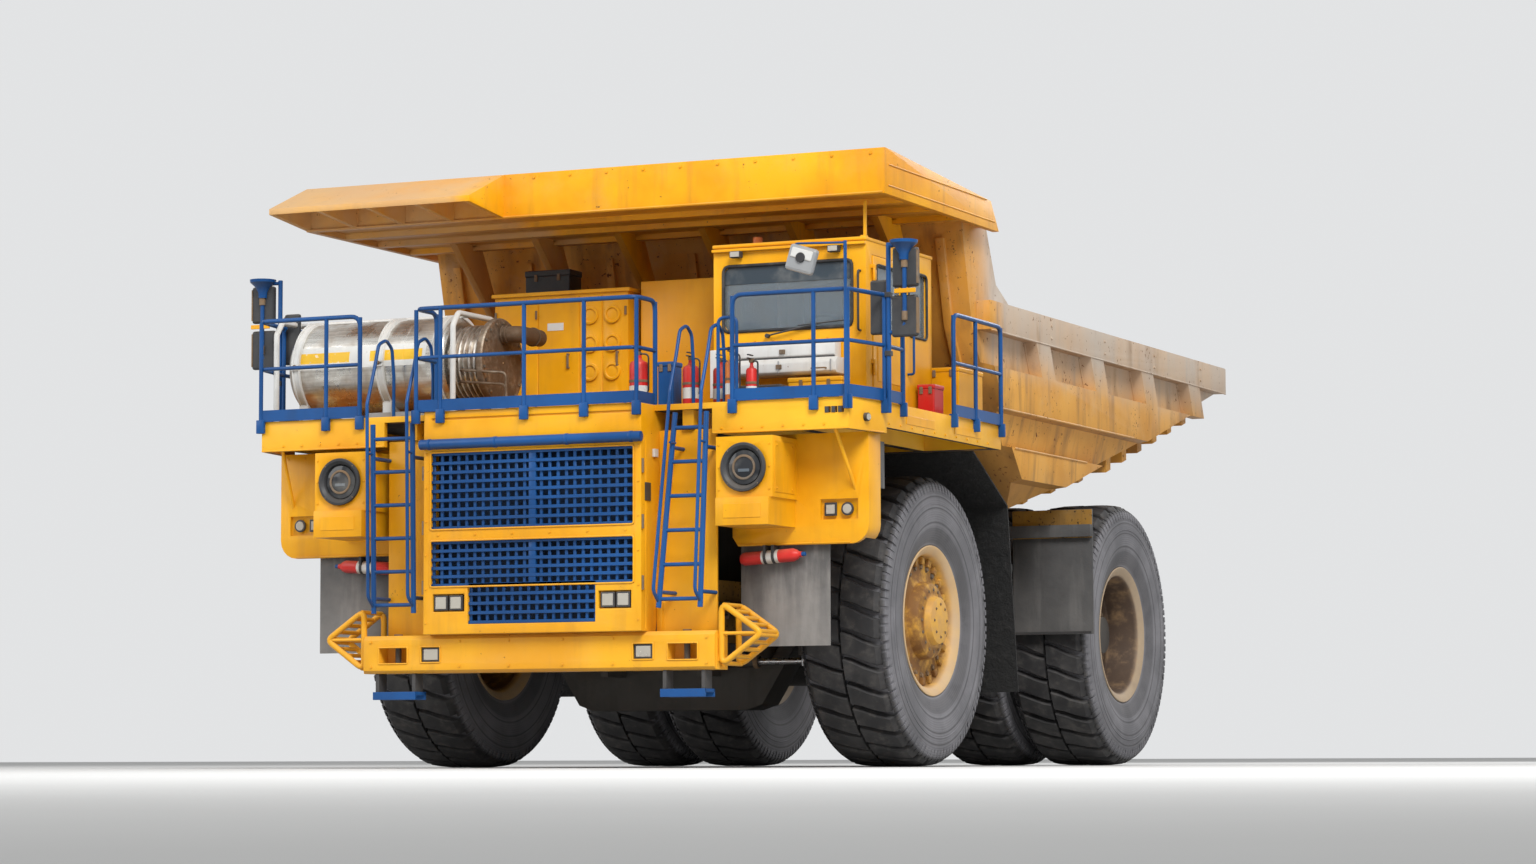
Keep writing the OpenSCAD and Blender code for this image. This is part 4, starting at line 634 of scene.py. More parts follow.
# Tyres
tyre = {"outer": 1.51, "lugs": 34, "teeth": 3, "steps": 72}
wheels = {  # places of the tyres on each hub, counted from the truck's middle
    "front": {"axle": frontY, "across": (2.515,), "tyres": "front_tyre", "body": "front_wheel"},
    "rear": {"axle": rearY, "across": (2.755, 1.665), "tyres": "rear_tyres", "body": "rear_wheels"},
}


def onWheel(x, y, radius, turn, side=1):
    return Vector((side * x, y + radius * math.sin(turn), hubZ + radius * math.cos(turn)))


def tyreBody(axleY):
    wall = [(0.352, 0.725), (0.392, 0.775), (0.425, 0.84), (0.452, 0.93), (0.474, 1.03), (0.484, 1.13),
            (0.484, 1.22), (0.479, 1.30), (0.468, 1.355), (0.452, 1.395), (0.405, 1.418), (0.245, 1.425)]
    bead = [(0.476, 1.205), (0.489, 1.212), (0.489, 1.222), (0.475, 1.23)]
    profiles = [[(-x, r) for x, r in wall] + [(x, r) for x, r in reversed(wall)]]
    profiles += [[(side * x, r) for x, r in bead] for side in (-1, 1)]
    return [lathe(profile, (axleY, hubZ), tyre["steps"]) for profile in profiles]


def tyreLug(axleY, side, phase):
    rows = [(0.014, 0.150, 0.112, 1.510), (0.120, 0.118, 0.106, 1.510), (0.245, 0.060, 0.102, 1.508),
            (0.372, 0.012, 0.100, 1.494), (0.448, 0.0, 0.100, 1.424), (0.470, 0.0, 0.098, 1.372),
            (0.474, 0.0, 0.090, 1.345)]  # across, place round, half width, top
    sections = []
    for across, centre, half, top in rows:
        base = min(1.405, top - 0.02)
        edge = [(half + 0.014, base), (half + 0.004, top - 0.014), (half - 0.010, top)]
        corners = [(-place, radius) for place, radius in edge] + edge[::-1]
        sections.append([onWheel(across, axleY, radius, (side * centre + place) / tyre["outer"] + phase, side)
                         for place, radius in corners])
    return loft(sections)


def tyreTooth(axleY, side):
    rows = [(0.430, 1.40, 1.456, 1.0), (0.462, 1.38, 1.428, 1.0), (0.478, 1.35, 1.376, 1.0),
            (0.480, 1.335, 1.345, 0.7)]  # across, foot, top, share of the width
    half = 0.5 * math.tau / (tyre["lugs"] * tyre["teeth"]) * 0.62
    return loft([[onWheel(across, axleY, radius, place * wide, side)
                  for place, radius in ((-half, low), (-half, top), (half, top), (half, low))]
                 for across, low, top, wide in rows])


def roundX(axleY, count):  # turns of a whole circle about an axle
    centre = Matrix.Translation((0, axleY, hubZ))
    return [centre @ Matrix.Rotation(turn, 4, "X") @ centre.inverted() for turn in turns(count)]


def makeTyre(axleY, rubber):
    pieces = tyreBody(axleY)
    for side in (-1, 1):
        phase = 0 if side > 0 else math.pi / tyre["lugs"]
        pieces += [copies(tyreLug(axleY, side, phase), roundX(axleY, tyre["lugs"])),
                   copies(tyreTooth(axleY, side), roundX(axleY, tyre["lugs"] * tyre["teeth"]))]
    return smooth(paint(join(pieces, "tyre"), rubber), 32)


for end, look in wheels.items():
    pattern = makeTyre(look["axle"], end + "TyreRubber")
    for side, word in sides:
        node = look["tyres"] + "_" + word
        whole = [twinOf(pattern, Matrix.Translation((side * x, 0, 0))) for x in look["across"]]
        name = node.replace("_", "-") + "-tread"
        finishPiece(join(whole, node), name, look["body"] + "_" + word, "tyre_rubber", node)
    bpy.data.objects.remove(pattern)
print("tyres made")


# Rims
rim = {"nuts": 22, "nutRing": 0.565, "cleatRing": 0.632, "rearNuts": 24, "rearNutRing": 0.50}
flange = [(0.388, 0.722), (0.412, 0.766), (0.414, 0.777), (0.408, 0.784), (0.398, 0.782), (0.375, 0.735),
          (0.355, 0.7215), (-0.355, 0.7215)]


def wheelBolts(x, axleY, radius, count, size, side):
    return bolts([onWheel(x, axleY, radius, turn, side) for turn in turns(count)], (side, 0, 0), size)


def turnedRim(profile, end, side):
    look = wheels[end]
    body = lathe([(look["across"][0] + x, r) for x, r in profile], (look["axle"], hubZ), 96, side)
    return paint(body, end + "RimPaint")


def makeFrontRim(side):
    x0 = wheels["front"]["across"][0]
    hub = [(0.505, 0.0), (0.505, 0.20), (0.492, 0.24), (0.43, 0.26), (0.425, 0.30), (0.425, 0.345),
           (0.405, 0.385), (0.375, 0.40), (0.30, 0.41), (0.282, 0.44), (0.278, 0.655), (0.30, 0.675),
           (0.345, 0.688), (0.372, 0.705)]
    back = [(-0.398, 0.78), (-0.414, 0.777), (-0.385, 0.72), (-0.30, 0.66), (0.18, 0.66), (0.18, 0.33),
            (-0.33, 0.33), (-0.33, 0.212)]
    near, far = sorted((side * (x0 + 0.276), side * (x0 + 0.318)))
    cleat = block((near, frontY - 0.034, hubZ + rim["cleatRing"] - 0.045),
                  (far, frontY + 0.034, hubZ + rim["cleatRing"] + 0.035), 0.008)
    return join([turnedRim(hub + flange + back, "front", side),
                 wheelBolts(x0 + 0.278, frontY, rim["nutRing"], rim["nuts"], 0.026, side),
                 paint(copies(cleat, roundX(frontY, rim["nuts"])), "frontRimPaint"),
                 wheelBolts(x0 + 0.424, frontY, 0.322, 16, 0.014, side),
                 wheelBolts(x0 + 0.505, frontY, 0.17, 8, 0.012, side)], "frontRim")


def makeRearRims(side):
    x0 = wheels["rear"]["across"][0]
    face = [(0.10, 0.212), (0.10, 0.32), (0.085, 0.335), (0.012, 0.345), (0.0, 0.36), (0.0, 0.64),
            (0.02, 0.662), (0.32, 0.668), (0.36, 0.684)]
    drum = [(-0.398, 0.782), (-0.692, 0.782), (-0.735, 0.7215), (-1.445, 0.7215), (-1.488, 0.782),
            (-1.504, 0.777), (-1.478, 0.72), (-1.455, 0.672), (-0.585, 0.67), (-0.585, 0.212)]
    return join([turnedRim(face + flange + drum, "rear", side),
                 wheelBolts(x0, rearY, rim["rearNutRing"], rim["rearNuts"], 0.024, side),
                 wheelBolts(x0 + 0.1, rearY, 0.275, 12, 0.016, side)], "rearRims")


for side, word in sides:
    finishPiece(makeFrontRim(side), "front-rim-" + word, "front_wheel_" + word, "yellow_paint",
                "front_rim_" + word)
    finishPiece(makeRearRims(side), "rear-rims-" + word, "rear_wheels_" + word, "yellow_paint",
                "rear_rims_" + word)
print("rims made")


# Handrails
rail = {"radius": 0.024, "post": 0.022, "top": 1.046, "middle": 0.548, "toe": 0.12, "tab": 0.045,
        "bend": 0.11}
deckTop = 3.58
frontRailY, sideRailX, hoodRailY = -3.1023, 3.4293, -3.4023
handrails = {  # runs of posts as (x, y), and how far their feet reach below the deck's top
    "centre": [([(-1.3, hoodRailY + 0.42), (-1.3, hoodRailY), (-1.02, hoodRailY), (-0.07, hoodRailY),
                 (0.6, hoodRailY), (1.18, hoodRailY), (1.18, hoodRailY + 0.42)], [0, *[-0.12] * 5, 0])],
    "left": [([(2.08, frontRailY), (2.95, frontRailY), (3.31, frontRailY), (sideRailX, frontRailY + 0.64),
               (sideRailX, -1.99)], [-0.12] * 5),
             ([(sideRailX, -0.62), (sideRailX, 0.0), (sideRailX, 0.73)], [-0.12] * 3)],
    "right": [([(-2.13, frontRailY), (-2.53, frontRailY), (-3.31, frontRailY),
                (-sideRailX, frontRailY + 0.64), (-sideRailX, -1.6), (-sideRailX, -0.8), (-sideRailX, 0.0),
                (-sideRailX, 0.73)], [-0.12] * 8)],
}


def makeHandrail(points, feet):
    top, tab = deckTop + rail["top"], rail["tab"]
    tops = [at(x, y, top) for x, y in points]
    drop = Vector((0, 0, rail["top"] - 0.02))
    middles = [at(x, y, deckTop + rail["middle"]) for x, y in points]
    pieces = [tube([tops[0] - drop, *tops, tops[-1] - drop], rail["radius"], rail["bend"]),
              tube(middles, rail["radius"] * 0.85, rail["bend"])]
    for (x, y), foot in zip(points, feet):
        pieces.append(rod(at(x, y, deckTop + foot), at(x, y, top - 0.01), rail["post"], 14))
        if foot < 0:
            pieces.append(block(at(x - tab, y - tab * 0.5, deckTop + foot),
                                at(x + tab, y + tab * 0.45, deckTop + 0.02), 0.006))
    low, high = deckTop + 0.002, deckTop + rail["toe"]
    for (x0, y0), (x1, y1) in zip(points, points[1:]):
        pieces.append(plate([at(x0, y0, low), at(x1, y1, low), at(x1, y1, high), at(x0, y0, high)], 0.012))
    return paint(smooth(join(pieces, "handrail"), 40), "bluePaint")


def makeLoop():  # small loop in front of the cab's inner corner
    x0, x1, y, low = 1.88, 2.08, -3.0, 3.582
    return join([handle((x0, y, low), (x1, y, low), (0, 0, 0.838), 0.018, "bluePaint", 0.07),
                 bar((x0, y, 4.11), (x1, y, 4.11), 0.014, "bluePaint", 12)], "loop")


for word, runs in handrails.items():
    pieces = [makeHandrail(*run) for run in runs] + ([makeLoop()] if word == "left" else [])
    finishPiece(join(pieces, "rails"), "handrails-" + word, "chassis", "blue_paint", "rails_" + word)
print("handrails made")


# Ladders with their handrails, and the stirrup steps
ladder = {"stringer": 0.027, "rung": 0.020, "grab": 0.018, "off": 0.12, "rungs": 6}
ladderEnds = [((-1.84, -3.29, 1.56), (-1.38, -3.29, 1.56), (-1.84, -3.33, 3.48), (-1.38, -3.33, 3.48)),
              ((1.39, -3.34, 1.56), (1.84, -3.34, 1.56), (1.51, -3.21, 3.48), (1.85, -3.21, 3.48))]


def makeLadder(*ends):
    lowA, lowB, highA, highB = (at(*end) for end in ends)
    off = ladder["off"]
    pieces = []
    for low, high in ((lowA, highA), (lowB, highB)):
        path = [low + Vector((0, y, z)) for y, z in ((0, 0.06), (-off, 0.16))]
        path += [high + Vector((0, y, z)) for y, z in ((-off, 0.2), (0.02, 0.56), (0.11, 0.83), (0.26, 0.89),
                                                       (0.38, 0.81), (0.42, 0.52), (0.42, deckTop - high.z))]
        pieces += [rod(low, high, ladder["stringer"], 16), tube(path, ladder["grab"], 0.10),
                   rod(high - Vector((0, off, 0.3)), high - Vector((0, 0, 0.3)), 0.013, 10)]
        for spot in (low.lerp(high, 0.08), low.lerp(high, 0.82)):
            pieces.append(rod(spot, (spot.x, frontY - 2.98, spot.z), 0.02, 12))
    for k in range(ladder["rungs"]):
        t = (k + 0.25) / (ladder["rungs"] - 0.3)
        pieces.append(rod(lowA.lerp(highA, t), lowB.lerp(highB, t), ladder["rung"], 12))
    return paint(join(pieces, "ladder"), "bluePaint")


def makeStirrup():
    left, right, front, back, low, high = 1.37, 1.86, -3.27, -3.04, 0.69, 0.77
    tread = [box((left, y, low), (right, y + 0.025, high), "bluePaint") for y in (front, back - 0.025)]
    tread += [box((x, front + 0.002, 0.735), (x + 0.025, back - 0.002, high), "bluePaint")
              for x in (left, right - 0.025)]
    for k in range(10):
        x = 1.42 + 0.39 * k / 9
        tread.append(box((x - 0.006, front + 0.02, 0.742), (x + 0.006, back - 0.02, high - 0.002),
                         "bluePaint", 0))
    tread += [box((x, -3.24, high - 0.001), (x + 0.04, -3.08, 0.9537), "darkPaint") for x in (1.385, 1.805)]
    return join(tread, "stirrup")


pieces = [makeLadder(*ends) for ends in ladderEnds]
left = makeStirrup()
finishPiece(join(pieces + [mirrored(left), left], "ladders"), "ladders-and-steps", "chassis", "blue_paint",
            "ladders")
print("ladders made")


# Grilles with the rolled cover
grille = {"pitch": 0.095, "bar": 0.034, "y": -3.36,
          "parts": [(1.1397, 2.3853, 3.1647), (1.1397, 1.8103, 2.2747), (0.7147, 1.4353, 1.845)]}
coverTube = {"y": -3.415, "z": 3.245, "half": 1.24, "radius": 0.052}


def makeGrille():
    pieces = []
    thick, y = grille["bar"], grille["y"]
    for half, low, high in grille["parts"]:
        columns, rows = round(2 * half / grille["pitch"]), round((high - low) / grille["pitch"])
        across, rise = (2 * half - thick) / columns, (high - low - thick) / rows
        upright = block(at(-thick / 2, y + 0.02, low), at(thick / 2, y + 0.04, high), 0.004, 1)
        level = block(at(-half, y, low), at(half, y + 0.02, low + thick), 0.004, 1)
        first = thick / 2 - half
        pieces += [copies(upright,
                          [Matrix.Translation((first + k * across, 0, 0)) for k in range(columns + 1)]),
                   copies(level, [Matrix.Translation((0, 0, k * rise)) for k in range(rows + 1)])]
    for half, low, high in grille["parts"][:2]:
        pieces.append(block(at(-0.04, y + 0.005, low), at(0.04, y + 0.055, high), 0.006))
    y, z, half, radius = coverTube.values()
    pieces.append(rod(at(-half, y, z), at(half, y, z), radius, 28, 0.01))
    pieces += [rod(at(x, y, z), at(x + 0.035, y, z), radius + 0.005, 28, 0.004)
               for x in (-1.15, -0.4, 0.4, 1.11)]
    return paint(smooth(join(pieces, "grille"), 40), "bluePaint")


finishPiece(makeGrille(), "grille-bars", "chassis", "blue_paint", "grille")
print("grille made")


# Lamps
headlamp = {"x": 2.268, "y": -3.24, "z": 2.915, "boltRing": 0.226,
            "bezel": [(0.0, 0.235), (0.03, 0.2425), (0.04, 0.236), (0.04, 0.215), (0.016, 0.186),
                      (-0.03, 0.17), (-0.035, 0.0)],
            "lens": [(0.012, 0.0), (0.010, 0.08), (0.004, 0.13), (-0.004, 0.168), (-0.02, 0.168)],
            "band": [(0.012, 0.10), (0.018, 0.105), (0.018, 0.12), (0.010, 0.125)]}


def makeLamps():
    pieces = []
    for side in (1, -1):
        x, y, z, ring = side * headlamp["x"], headlamp["y"], headlamp["z"], headlamp["boltRing"]
        pieces += [turnedPart(headlamp["bezel"], (x, y, z), "darkPaint", 48),
                   turnedPart(headlamp["lens"], (x, y, z), "headlampGlass"),
                   turnedPart(headlamp["band"], (x, y, z), "boltSteel"),
                   box((x - 0.06, y - 0.016, z - 0.045), (x + 0.06, y - 0.008, z - 0.015), "mirrorGlass",
                       0.003),
                   onFace([(x + ring * math.cos(a), y - 0.036, z + ring * math.sin(a))
                           for a in (0.79, 2.36, 3.93, 5.5)], toFront, 0.008, "boltSteel")]
        for x in (0.775, 0.945):  # twin square lamps in the hood
            pieces += [span(side, x, x + 0.15, -3.375, -3.3203, 1.575, 1.725, "darkPaint"),
                       span(side, x + 0.016, x + 0.134, -3.381, -3.37, 1.591, 1.709, "lampGlass", 0.005)]
        pieces += [span(side, 1.09, 1.29, -3.27, -3.1603, 1.069, 1.209, "darkPaint"),  # bumper lamp
                   span(side, 1.11, 1.27, -3.277, -3.265, 1.085, 1.193, "lampGlass", 0.005)]
        pieces += [span(side, 2.86, 2.99, -2.645, -2.628, 2.455, 2.585, "darkPaint"),  # square marker lamp
                   span(side, 2.88, 2.97, -2.652, -2.64, 2.475, 2.565, "lampGlass")]
        x, z = side * 3.105, 2.52  # round marker lamp
        pieces += [bar((x, -2.652, z), (x, -2.628, z), 0.065, "darkPaint", 28, 0.005),
                   bar((x, -2.658, z), (x, -2.64, z), 0.048, "lampGlass", 28, 0.006)]
    pieces.append(box((1.2203, -3.13, 3.06), (1.25, -3.05, 3.14), "whitePaint"))
    return join(pieces, "lamps")


# Mirrors on their posts
mirror = {"x": 3.4776, "y": -2.4623, "foot": 3.46, "top": 5.14}
frontMirror = {"x": 3.31, "y": -3.149, "headX": 2.85, "headZ": 4.93, "tilt": math.radians(17)}


def mirrorHead(low, high):
    return join([box(low, high, "darkPaint", 0.022),
                 box((low[0] + 0.02, high[1] - 0.004, low[2] + 0.02),
                     (high[0] - 0.02, high[1] + 0.004, high[2] - 0.02), "mirrorGlass"),
                 box((high[0] - 0.012, low[1] - 0.004, low[2] + 0.03),
                     (high[0] + 0.003, high[1] - 0.01, high[2] - 0.03), "boltSteel")], "mirrorHead")


def makeMirrorPost():
    x, y, foot, top = mirror.values()
    outer, behind, high, blue = x + 0.19, y - 0.05, top - 0.03, "bluePaint"
    flare = [(0.0, 0.0), (0.0, 0.045), (0.06, 0.05), (0.12, 0.085), (0.165, 0.135), (0.195, 0.14),
             (0.195, 0.0)]
    return join([
        bar((x, y, foot), (x, y, top), 0.024, blue, 20, 0.004),
        pipe([(x, y, high), (x + 0.17, y, high), (x + 0.17, y, top - 0.16)], 0.019, blue, 0.04),
        pipe([(x, y, 4.25), (x + 0.12, y - 0.01, 4.25), (outer, y - 0.03, 4.34)], 0.022, blue, 0.06),
        bar((outer, behind, 4.44), (outer, behind, 4.89), 0.022, blue),
        turnedPart(flare, (x + 0.185, behind, top - 0.185), blue, 32, "Y"),
        bar((outer, behind, 4.88), (outer, behind, 4.965), 0.034, "boltSteel", 18, 0.004),
        bar((outer, behind, 4.36), (outer, behind, 4.45), 0.03, "boltSteel", 18, 0.004),
        *[box((x - 0.032, y - 0.032, z), (x + 0.032, y + 0.032, z + 0.05), "darkPaint") for z in (4.02, 4.6)],
        mirrorHead((x + 0.055, y - 0.045, 4.69), (x + 0.325, y + 0.02, 5.08)),
        mirrorHead((x + 0.045, y - 0.045, 4.20), (x + 0.322, y + 0.02, 4.61)),
        mirrorHead((x - 0.215, y + 0.03, 4.24), (x - 0.03, y + 0.085, 4.78)),
        box((x + 0.09, y - 0.078, 4.628), (x + 0.315, y - 0.058, 4.672), "yellowPaint")], "mirrorPost")


def makeFrontMirror():
    x0, y, x, z, tilt = frontMirror.values()
    eye = z + 0.015
    head = join([box((x - 0.15, y - 0.035, z - 0.13), (x + 0.15, y + 0.05, z + 0.13), "greyPlastic", 0.03),
                 box((x - 0.115, y - 0.046, z), (x + 0.115, y - 0.02, z + 0.10), "whitePaint", 0.012),
                 bar((x, y - 0.054, eye), (x, y - 0.03, eye), 0.05, "darkPaint", 24, 0.006)], "head")
    arm = [(x0, y, 5.07), (2.78, y, 5.09), (2.745, y, 5.0), (2.75, y, 4.93)]
    return join([bar((x0, y, 3.46), (x0, y, 5.09), 0.017, "bluePaint", 14),
                 pipe(arm, 0.011, "bluePaint", 0.05),
                 tilted(head, (x, y, z), tilt)], "frontMirror")


left = makeMirrorPost()
pieces = [mirrored(left), makeFrontMirror(), left]
finishPiece(join(pieces, "mirrors"), "mirrors-on-posts", "chassis", "blue_paint", "mirrors")
print("mirrors made")


# Braking resistor drum with its frames, bands, duct and pipe
drum = {"y": -2.33, "z": 4.16, "radius": 0.49, "left": -3.29, "right": -1.33}


def hoop(low, high, inner, outer):  # the section of a ring
    return [(low, inner), (low, outer), (high, outer), (high, inner)]


def makeDrum():
    y, z, r, x0, x1 = drum.values()
    centre, base, white = (frontY + y, z), deckTop + 0.001, "whitePaint"
    profile = [(0.0, 0.0), (0.012, 0.12), (0.03, 0.22), (0.06, 0.33), (0.10, 0.41), (0.15, 0.462),
               (0.22, 0.488), (0.30, r), (0.62, r - 0.006), (0.625, r), (0.98, r), (0.985, r - 0.006),
               (1.50, r), (1.505, r - 0.006), (1.90, r), (1.93, r - 0.012), (1.96, r - 0.05), (1.96, 0.0)]
    pieces = [paint(lathe([(x0 + x, k) for x, k in profile], centre, 96), "drumSteel"),
              bar((x0 - 0.02, y, 4.665), (x1 + 0.12, y, 4.665), 0.018, white, 14),
              box((x0 + 1.05, y - 0.42, base), (x1 + 0.1, y - 0.36, 3.66), "greyPlastic")]
    for x in (x0 + 0.235, x0 + 1.235, x1 - 0.085):  # bands with their lips, lugs and feet
        sections = [hoop(x - 0.045, x + 0.045, r - 0.004, r + 0.018)]
        sections += [hoop(lip - 0.007, lip + 0.007, r + 0.016, r + 0.03) for lip in (x - 0.036, x + 0.036)]
        pieces += [paint(lathe(section, centre, 72), white) for section in sections]
        pieces += [box((x - 0.045, y - r - 0.045, low), (x + 0.045, y - r - 0.01, low + 0.02), white, 0.003)
                   for low in (z - 0.03, z + 0.015)]
        pieces += [box((x - 0.05, foot - 0.05, base), (x + 0.05, foot + 0.05, z - r * 0.76), white, 0.006)
                   for foot in (y - 0.3, y + 0.3)]
        pieces += [box((x - 0.06, y - 0.42, base), (x + 0.06, y + 0.42, deckTop + 0.032), white, 0.006),
                   onFace([(x, y - r - 0.046, z + 0.006)], toFront, 0.016, "boltSteel"),
                   onFace([(x, y + e * 0.38, deckTop + 0.032) for e in (-1, 1)], upward, 0.014, "boltSteel")]
    half = [(-0.47, 3.60), (-0.47, 4.52), (-0.36, 4.66)]
    outline = half + [(-across, height) for across, height in reversed(half)]
    for x in (x0 - 0.02, x1 + 0.12):  # end frames
        pieces.append(pipe([(x, y + across, height) for across, height in outline], 0.03, white, 0.07))
        pieces += [box((x - 0.06, foot - 0.06, base), (x + 0.06, foot + 0.06, 3.60), white)
                   for foot in (y - 0.47, y + 0.47)]
    return join(pieces, "drum")


def makeDuct():
    x0, y, z = drum["right"] + 0.0003, drum["y"], drum["z"]
    centre, high = (frontY + y, z), z + 0.29
    waves = [(0.058 * k + x, r) for k in range(7)
             for x, r in ((0.012, 0.355), (0.026, 0.398), (0.044, 0.402), (0.056, 0.36))]
    sleeve = [(0, 0.0), (0, 0.35)] + waves + [(0.44, 0.36), (0.45, 0.0)]
    cover = [(-0.955, 0.0), (-0.955, 0.455), (-0.948, 0.462), (-0.90, 0.462), (-0.885, 0.45), (-0.88, 0.30),
             (-0.88, 0.0)]
    ring = [(-0.88, y + 0.41 * math.sin(a), z + 0.41 * math.cos(a)) for a in turns(18)]
    elbow = [(-0.90, y, high), (-0.70, y, high), (-0.70, y + 0.46, high)]
    pieces = [paint(lathe([(x0 + x, r) for x, r in sleeve], centre, 80), "crumpledFoil"),
              paint(lathe(cover, centre, 72), "heatedSteel"),
              onFace(ring, (1, 0, 0), 0.014, "boltSteel"),
              pipe(elbow, 0.088, "heatedSteel", 0.17, 8),
              bar((-0.70, y + 0.3, high), (-0.70, y + 0.32, high), 0.10, "heatedSteel", 32, 0.004),
              box((-0.96, y - 0.12, deckTop + 0.001), (-0.90, y + 0.12, z - 0.42), "whitePaint")]
    pieces += [bar((x, y, high), (x + 0.02, y, high), 0.10, "heatedSteel", 32, 0.004)
               for x in (-0.875, -0.83)]
    for low in (z - 0.10, z - 0.22):  # thin pipes under the sleeve
        path = [(x0 + 0.1, y - 0.30, low), (x0 + 0.2, y - 0.43, low), (-0.62, y - 0.43, low - 0.05)]
        pieces.append(pipe(path + [(-0.60, y - 0.43, deckTop + 0.005)], 0.014, "heatedSteel", 0.06))
    return join(pieces, "duct")


def makeDrumSteel():  # soot, heat stains below and a painted white field with two yellow stripes in front
    shade = Shade("drumSteel")
    x, y, z = (shade.axis(k) for k in range(3))
    middle, start, end = drum["z"], drum["left"], drum["right"]
    grain = shade.noise(40, 3, (0.05, 1, 1))
    darkening = (shade.noise(1.7, 5) + shade.noise(11, 4) * 0.35).rise(0.55, 0.9)
    warm = (1 - z.rise(middle - 0.36, middle - 0.10)) * shade.noise(2.6, 4, (1, 1, 2)).rise(0.38, 0.55)
    steel = shade.mix(grain.rise(0.3, 0.7), (0.52, 0.50, 0.46), (0.74, 0.72, 0.67))
    steel = shade.mix(darkening * 0.7, steel, (0.22, 0.15, 0.09))
    steel = shade.mix(warm * 0.85, steel, (0.42, 0.17, 0.035))
    near = 1 - y.rise(frontY + drum["y"] - 0.1, frontY + drum["y"] - 0.09)

    def field(low, high, first, last):  # 1 between two heights and two places along the drum
        tall = near * z.rise(low, low + 0.004) * (1 - z.rise(high, high + 0.004))
        return tall * x.rise(first, first + 0.006) * (1 - x.rise(last, last + 0.006))

    worn = 1 - shade.noise(14, 6).rise(0.60, 0.68) * 0.7
    white = field(middle - 0.03, middle + 0.20, start + 0.13, end - 0.20) * worn
    stripes = (field(middle + 0.03, middle + 0.14, start + 0.18, start + 0.86)
               + field(middle + 0.03, middle + 0.14, end - 0.86, end - 0.24)) * worn
    colour = shade.mix(white, steel, (0.72, 0.71, 0.67))
    shade.feed("Base Color", shade.mix(stripes, colour, (0.86, 0.50, 0.015)))
    shade.feed("Metallic", (0.92 - white * 0.92 - darkening * 0.35).clip())
    shade.feed("Roughness", (grain * 0.12 + darkening * 0.35 + white * 0.2 + 0.17).clip())
    shade.bump(grain, 0.08, 0.0008)
    shade.bump(shade.noise(2.6, 2), 0.12, 0.012)
    return shade.material


materials["drumSteel"] = makeDrumSteel()
finishPiece(makeDrum(), "resistor-drum", "chassis", "stainless", "brake_resistor")
finishPiece(makeDuct(), "resistor-duct", "chassis", "stainless", "resistor_piping")
print("resistor made")


# Boxes, bottles and the control cabinet on the deck
def lidded(low, high, finish, lid=0.05):  # a box with a lid and two catches
    (x0, y0, z0), (x1, y1, z1) = low, high
    catches = [x0 + (x1 - x0) * share for share in (0.25, 0.75)]
    return join([box((x0 + 0.008, y0 + 0.008, z0), (x1 - 0.008, y1 - 0.008, z1 - lid + 0.006), finish, 0.012),
                 box((x0, y0, z1 - lid), (x1, y1, z1), finish, 0.014),
                 *[box((x - 0.018, y0 - 0.006, z1 - lid - 0.05), (x + 0.018, y0 + 0.012, z1 - lid + 0.025),
                       "boltSteel") for x in catches]], "lidded")


def makeDeckBoxes():
    pieces = [lidded((1.78, -2.70, deckTop), (2.42, -2.35, 3.77), "darkPaint"),
              lidded((-1.50, -0.70, deckTop + 1.43), (-0.95, -0.40, deckTop + 1.75), "darkPaint", 0.07),
              lidded((1.01, -2.60, deckTop), (1.20, -2.38, 4.06), "bluePaint"),
              lidded((2.907, -0.10, deckTop), (3.287, 0.60, 4.14), "yellowPaint"),
              lidded((3.05, -0.70, deckTop), (3.25, -0.42, 3.91), "redPaint"),
              lidded((2.30, -2.28, deckTop), (2.90, -2.06, 3.87), "yellowPaint"),
              box((-1.46, -0.68, deckTop + 1.748), (-0.99, -0.42, deckTop + 1.752), "orangePaint", 0.001)]
    for x in (2.62, 2.80):  # sockets in the low box
        pieces += [bar((x, -2.30, 3.70), (x, -2.26, 3.70), 0.075, "darkPaint", 28, 0.01),
                   bar((x, -2.31, 3.70), (x, -2.29, 3.70), 0.03, "boltSteel", 16, 0.004)]
    return join(pieces, "deckBoxes")


def bottle(x, y, height, radius, finish):
    z, top = deckTop, deckTop + height
    profile = [(0.0, 0.0), (0.004, radius * 0.86), (0.015, radius), (height - radius * 0.5, radius),
               (height - radius * 0.2, radius * 0.86), (height, radius * 0.45), (height + 0.02, radius * 0.3),
               (height + 0.05, radius * 0.3), (height + 0.05, 0.0)]
    strap = hoop(-0.012, 0.012, radius - 0.001, radius + 0.004)
    label = hoop(-height * 0.13, height * 0.13, radius, radius + 0.0015)
    horn = [(x + 0.01, y, top + 0.065), (x + radius + 0.012, y, top + 0.06),
            (x + radius + 0.012, y, z + height * 0.35), (x + radius - 0.01, y, z + height * 0.30)]
    return join([turnedPart(profile, (x, y, z), finish, 40, "Y"),
                 box((x - 0.018, y - 0.03, top + 0.048), (x + 0.018, y + 0.03, top + 0.085), "boltSteel"),
                 box((x - 0.012, y - 0.10, top + 0.08), (x + 0.012, y + 0.03, top + 0.092), "darkPaint"),
                 box((x - 0.012, y - 0.09, top + 0.115), (x + 0.012, y + 0.02, top + 0.127), "darkPaint"),
                 pipe(horn, 0.009, "darkPaint", 0.05),
                 turnedPart(strap, (x, y, z + height * 0.55), "boltSteel", 36, "Y"),
                 turnedPart(label, (x, y, z + height * 0.32), "whitePaint", 40, "Y")], "bottle")


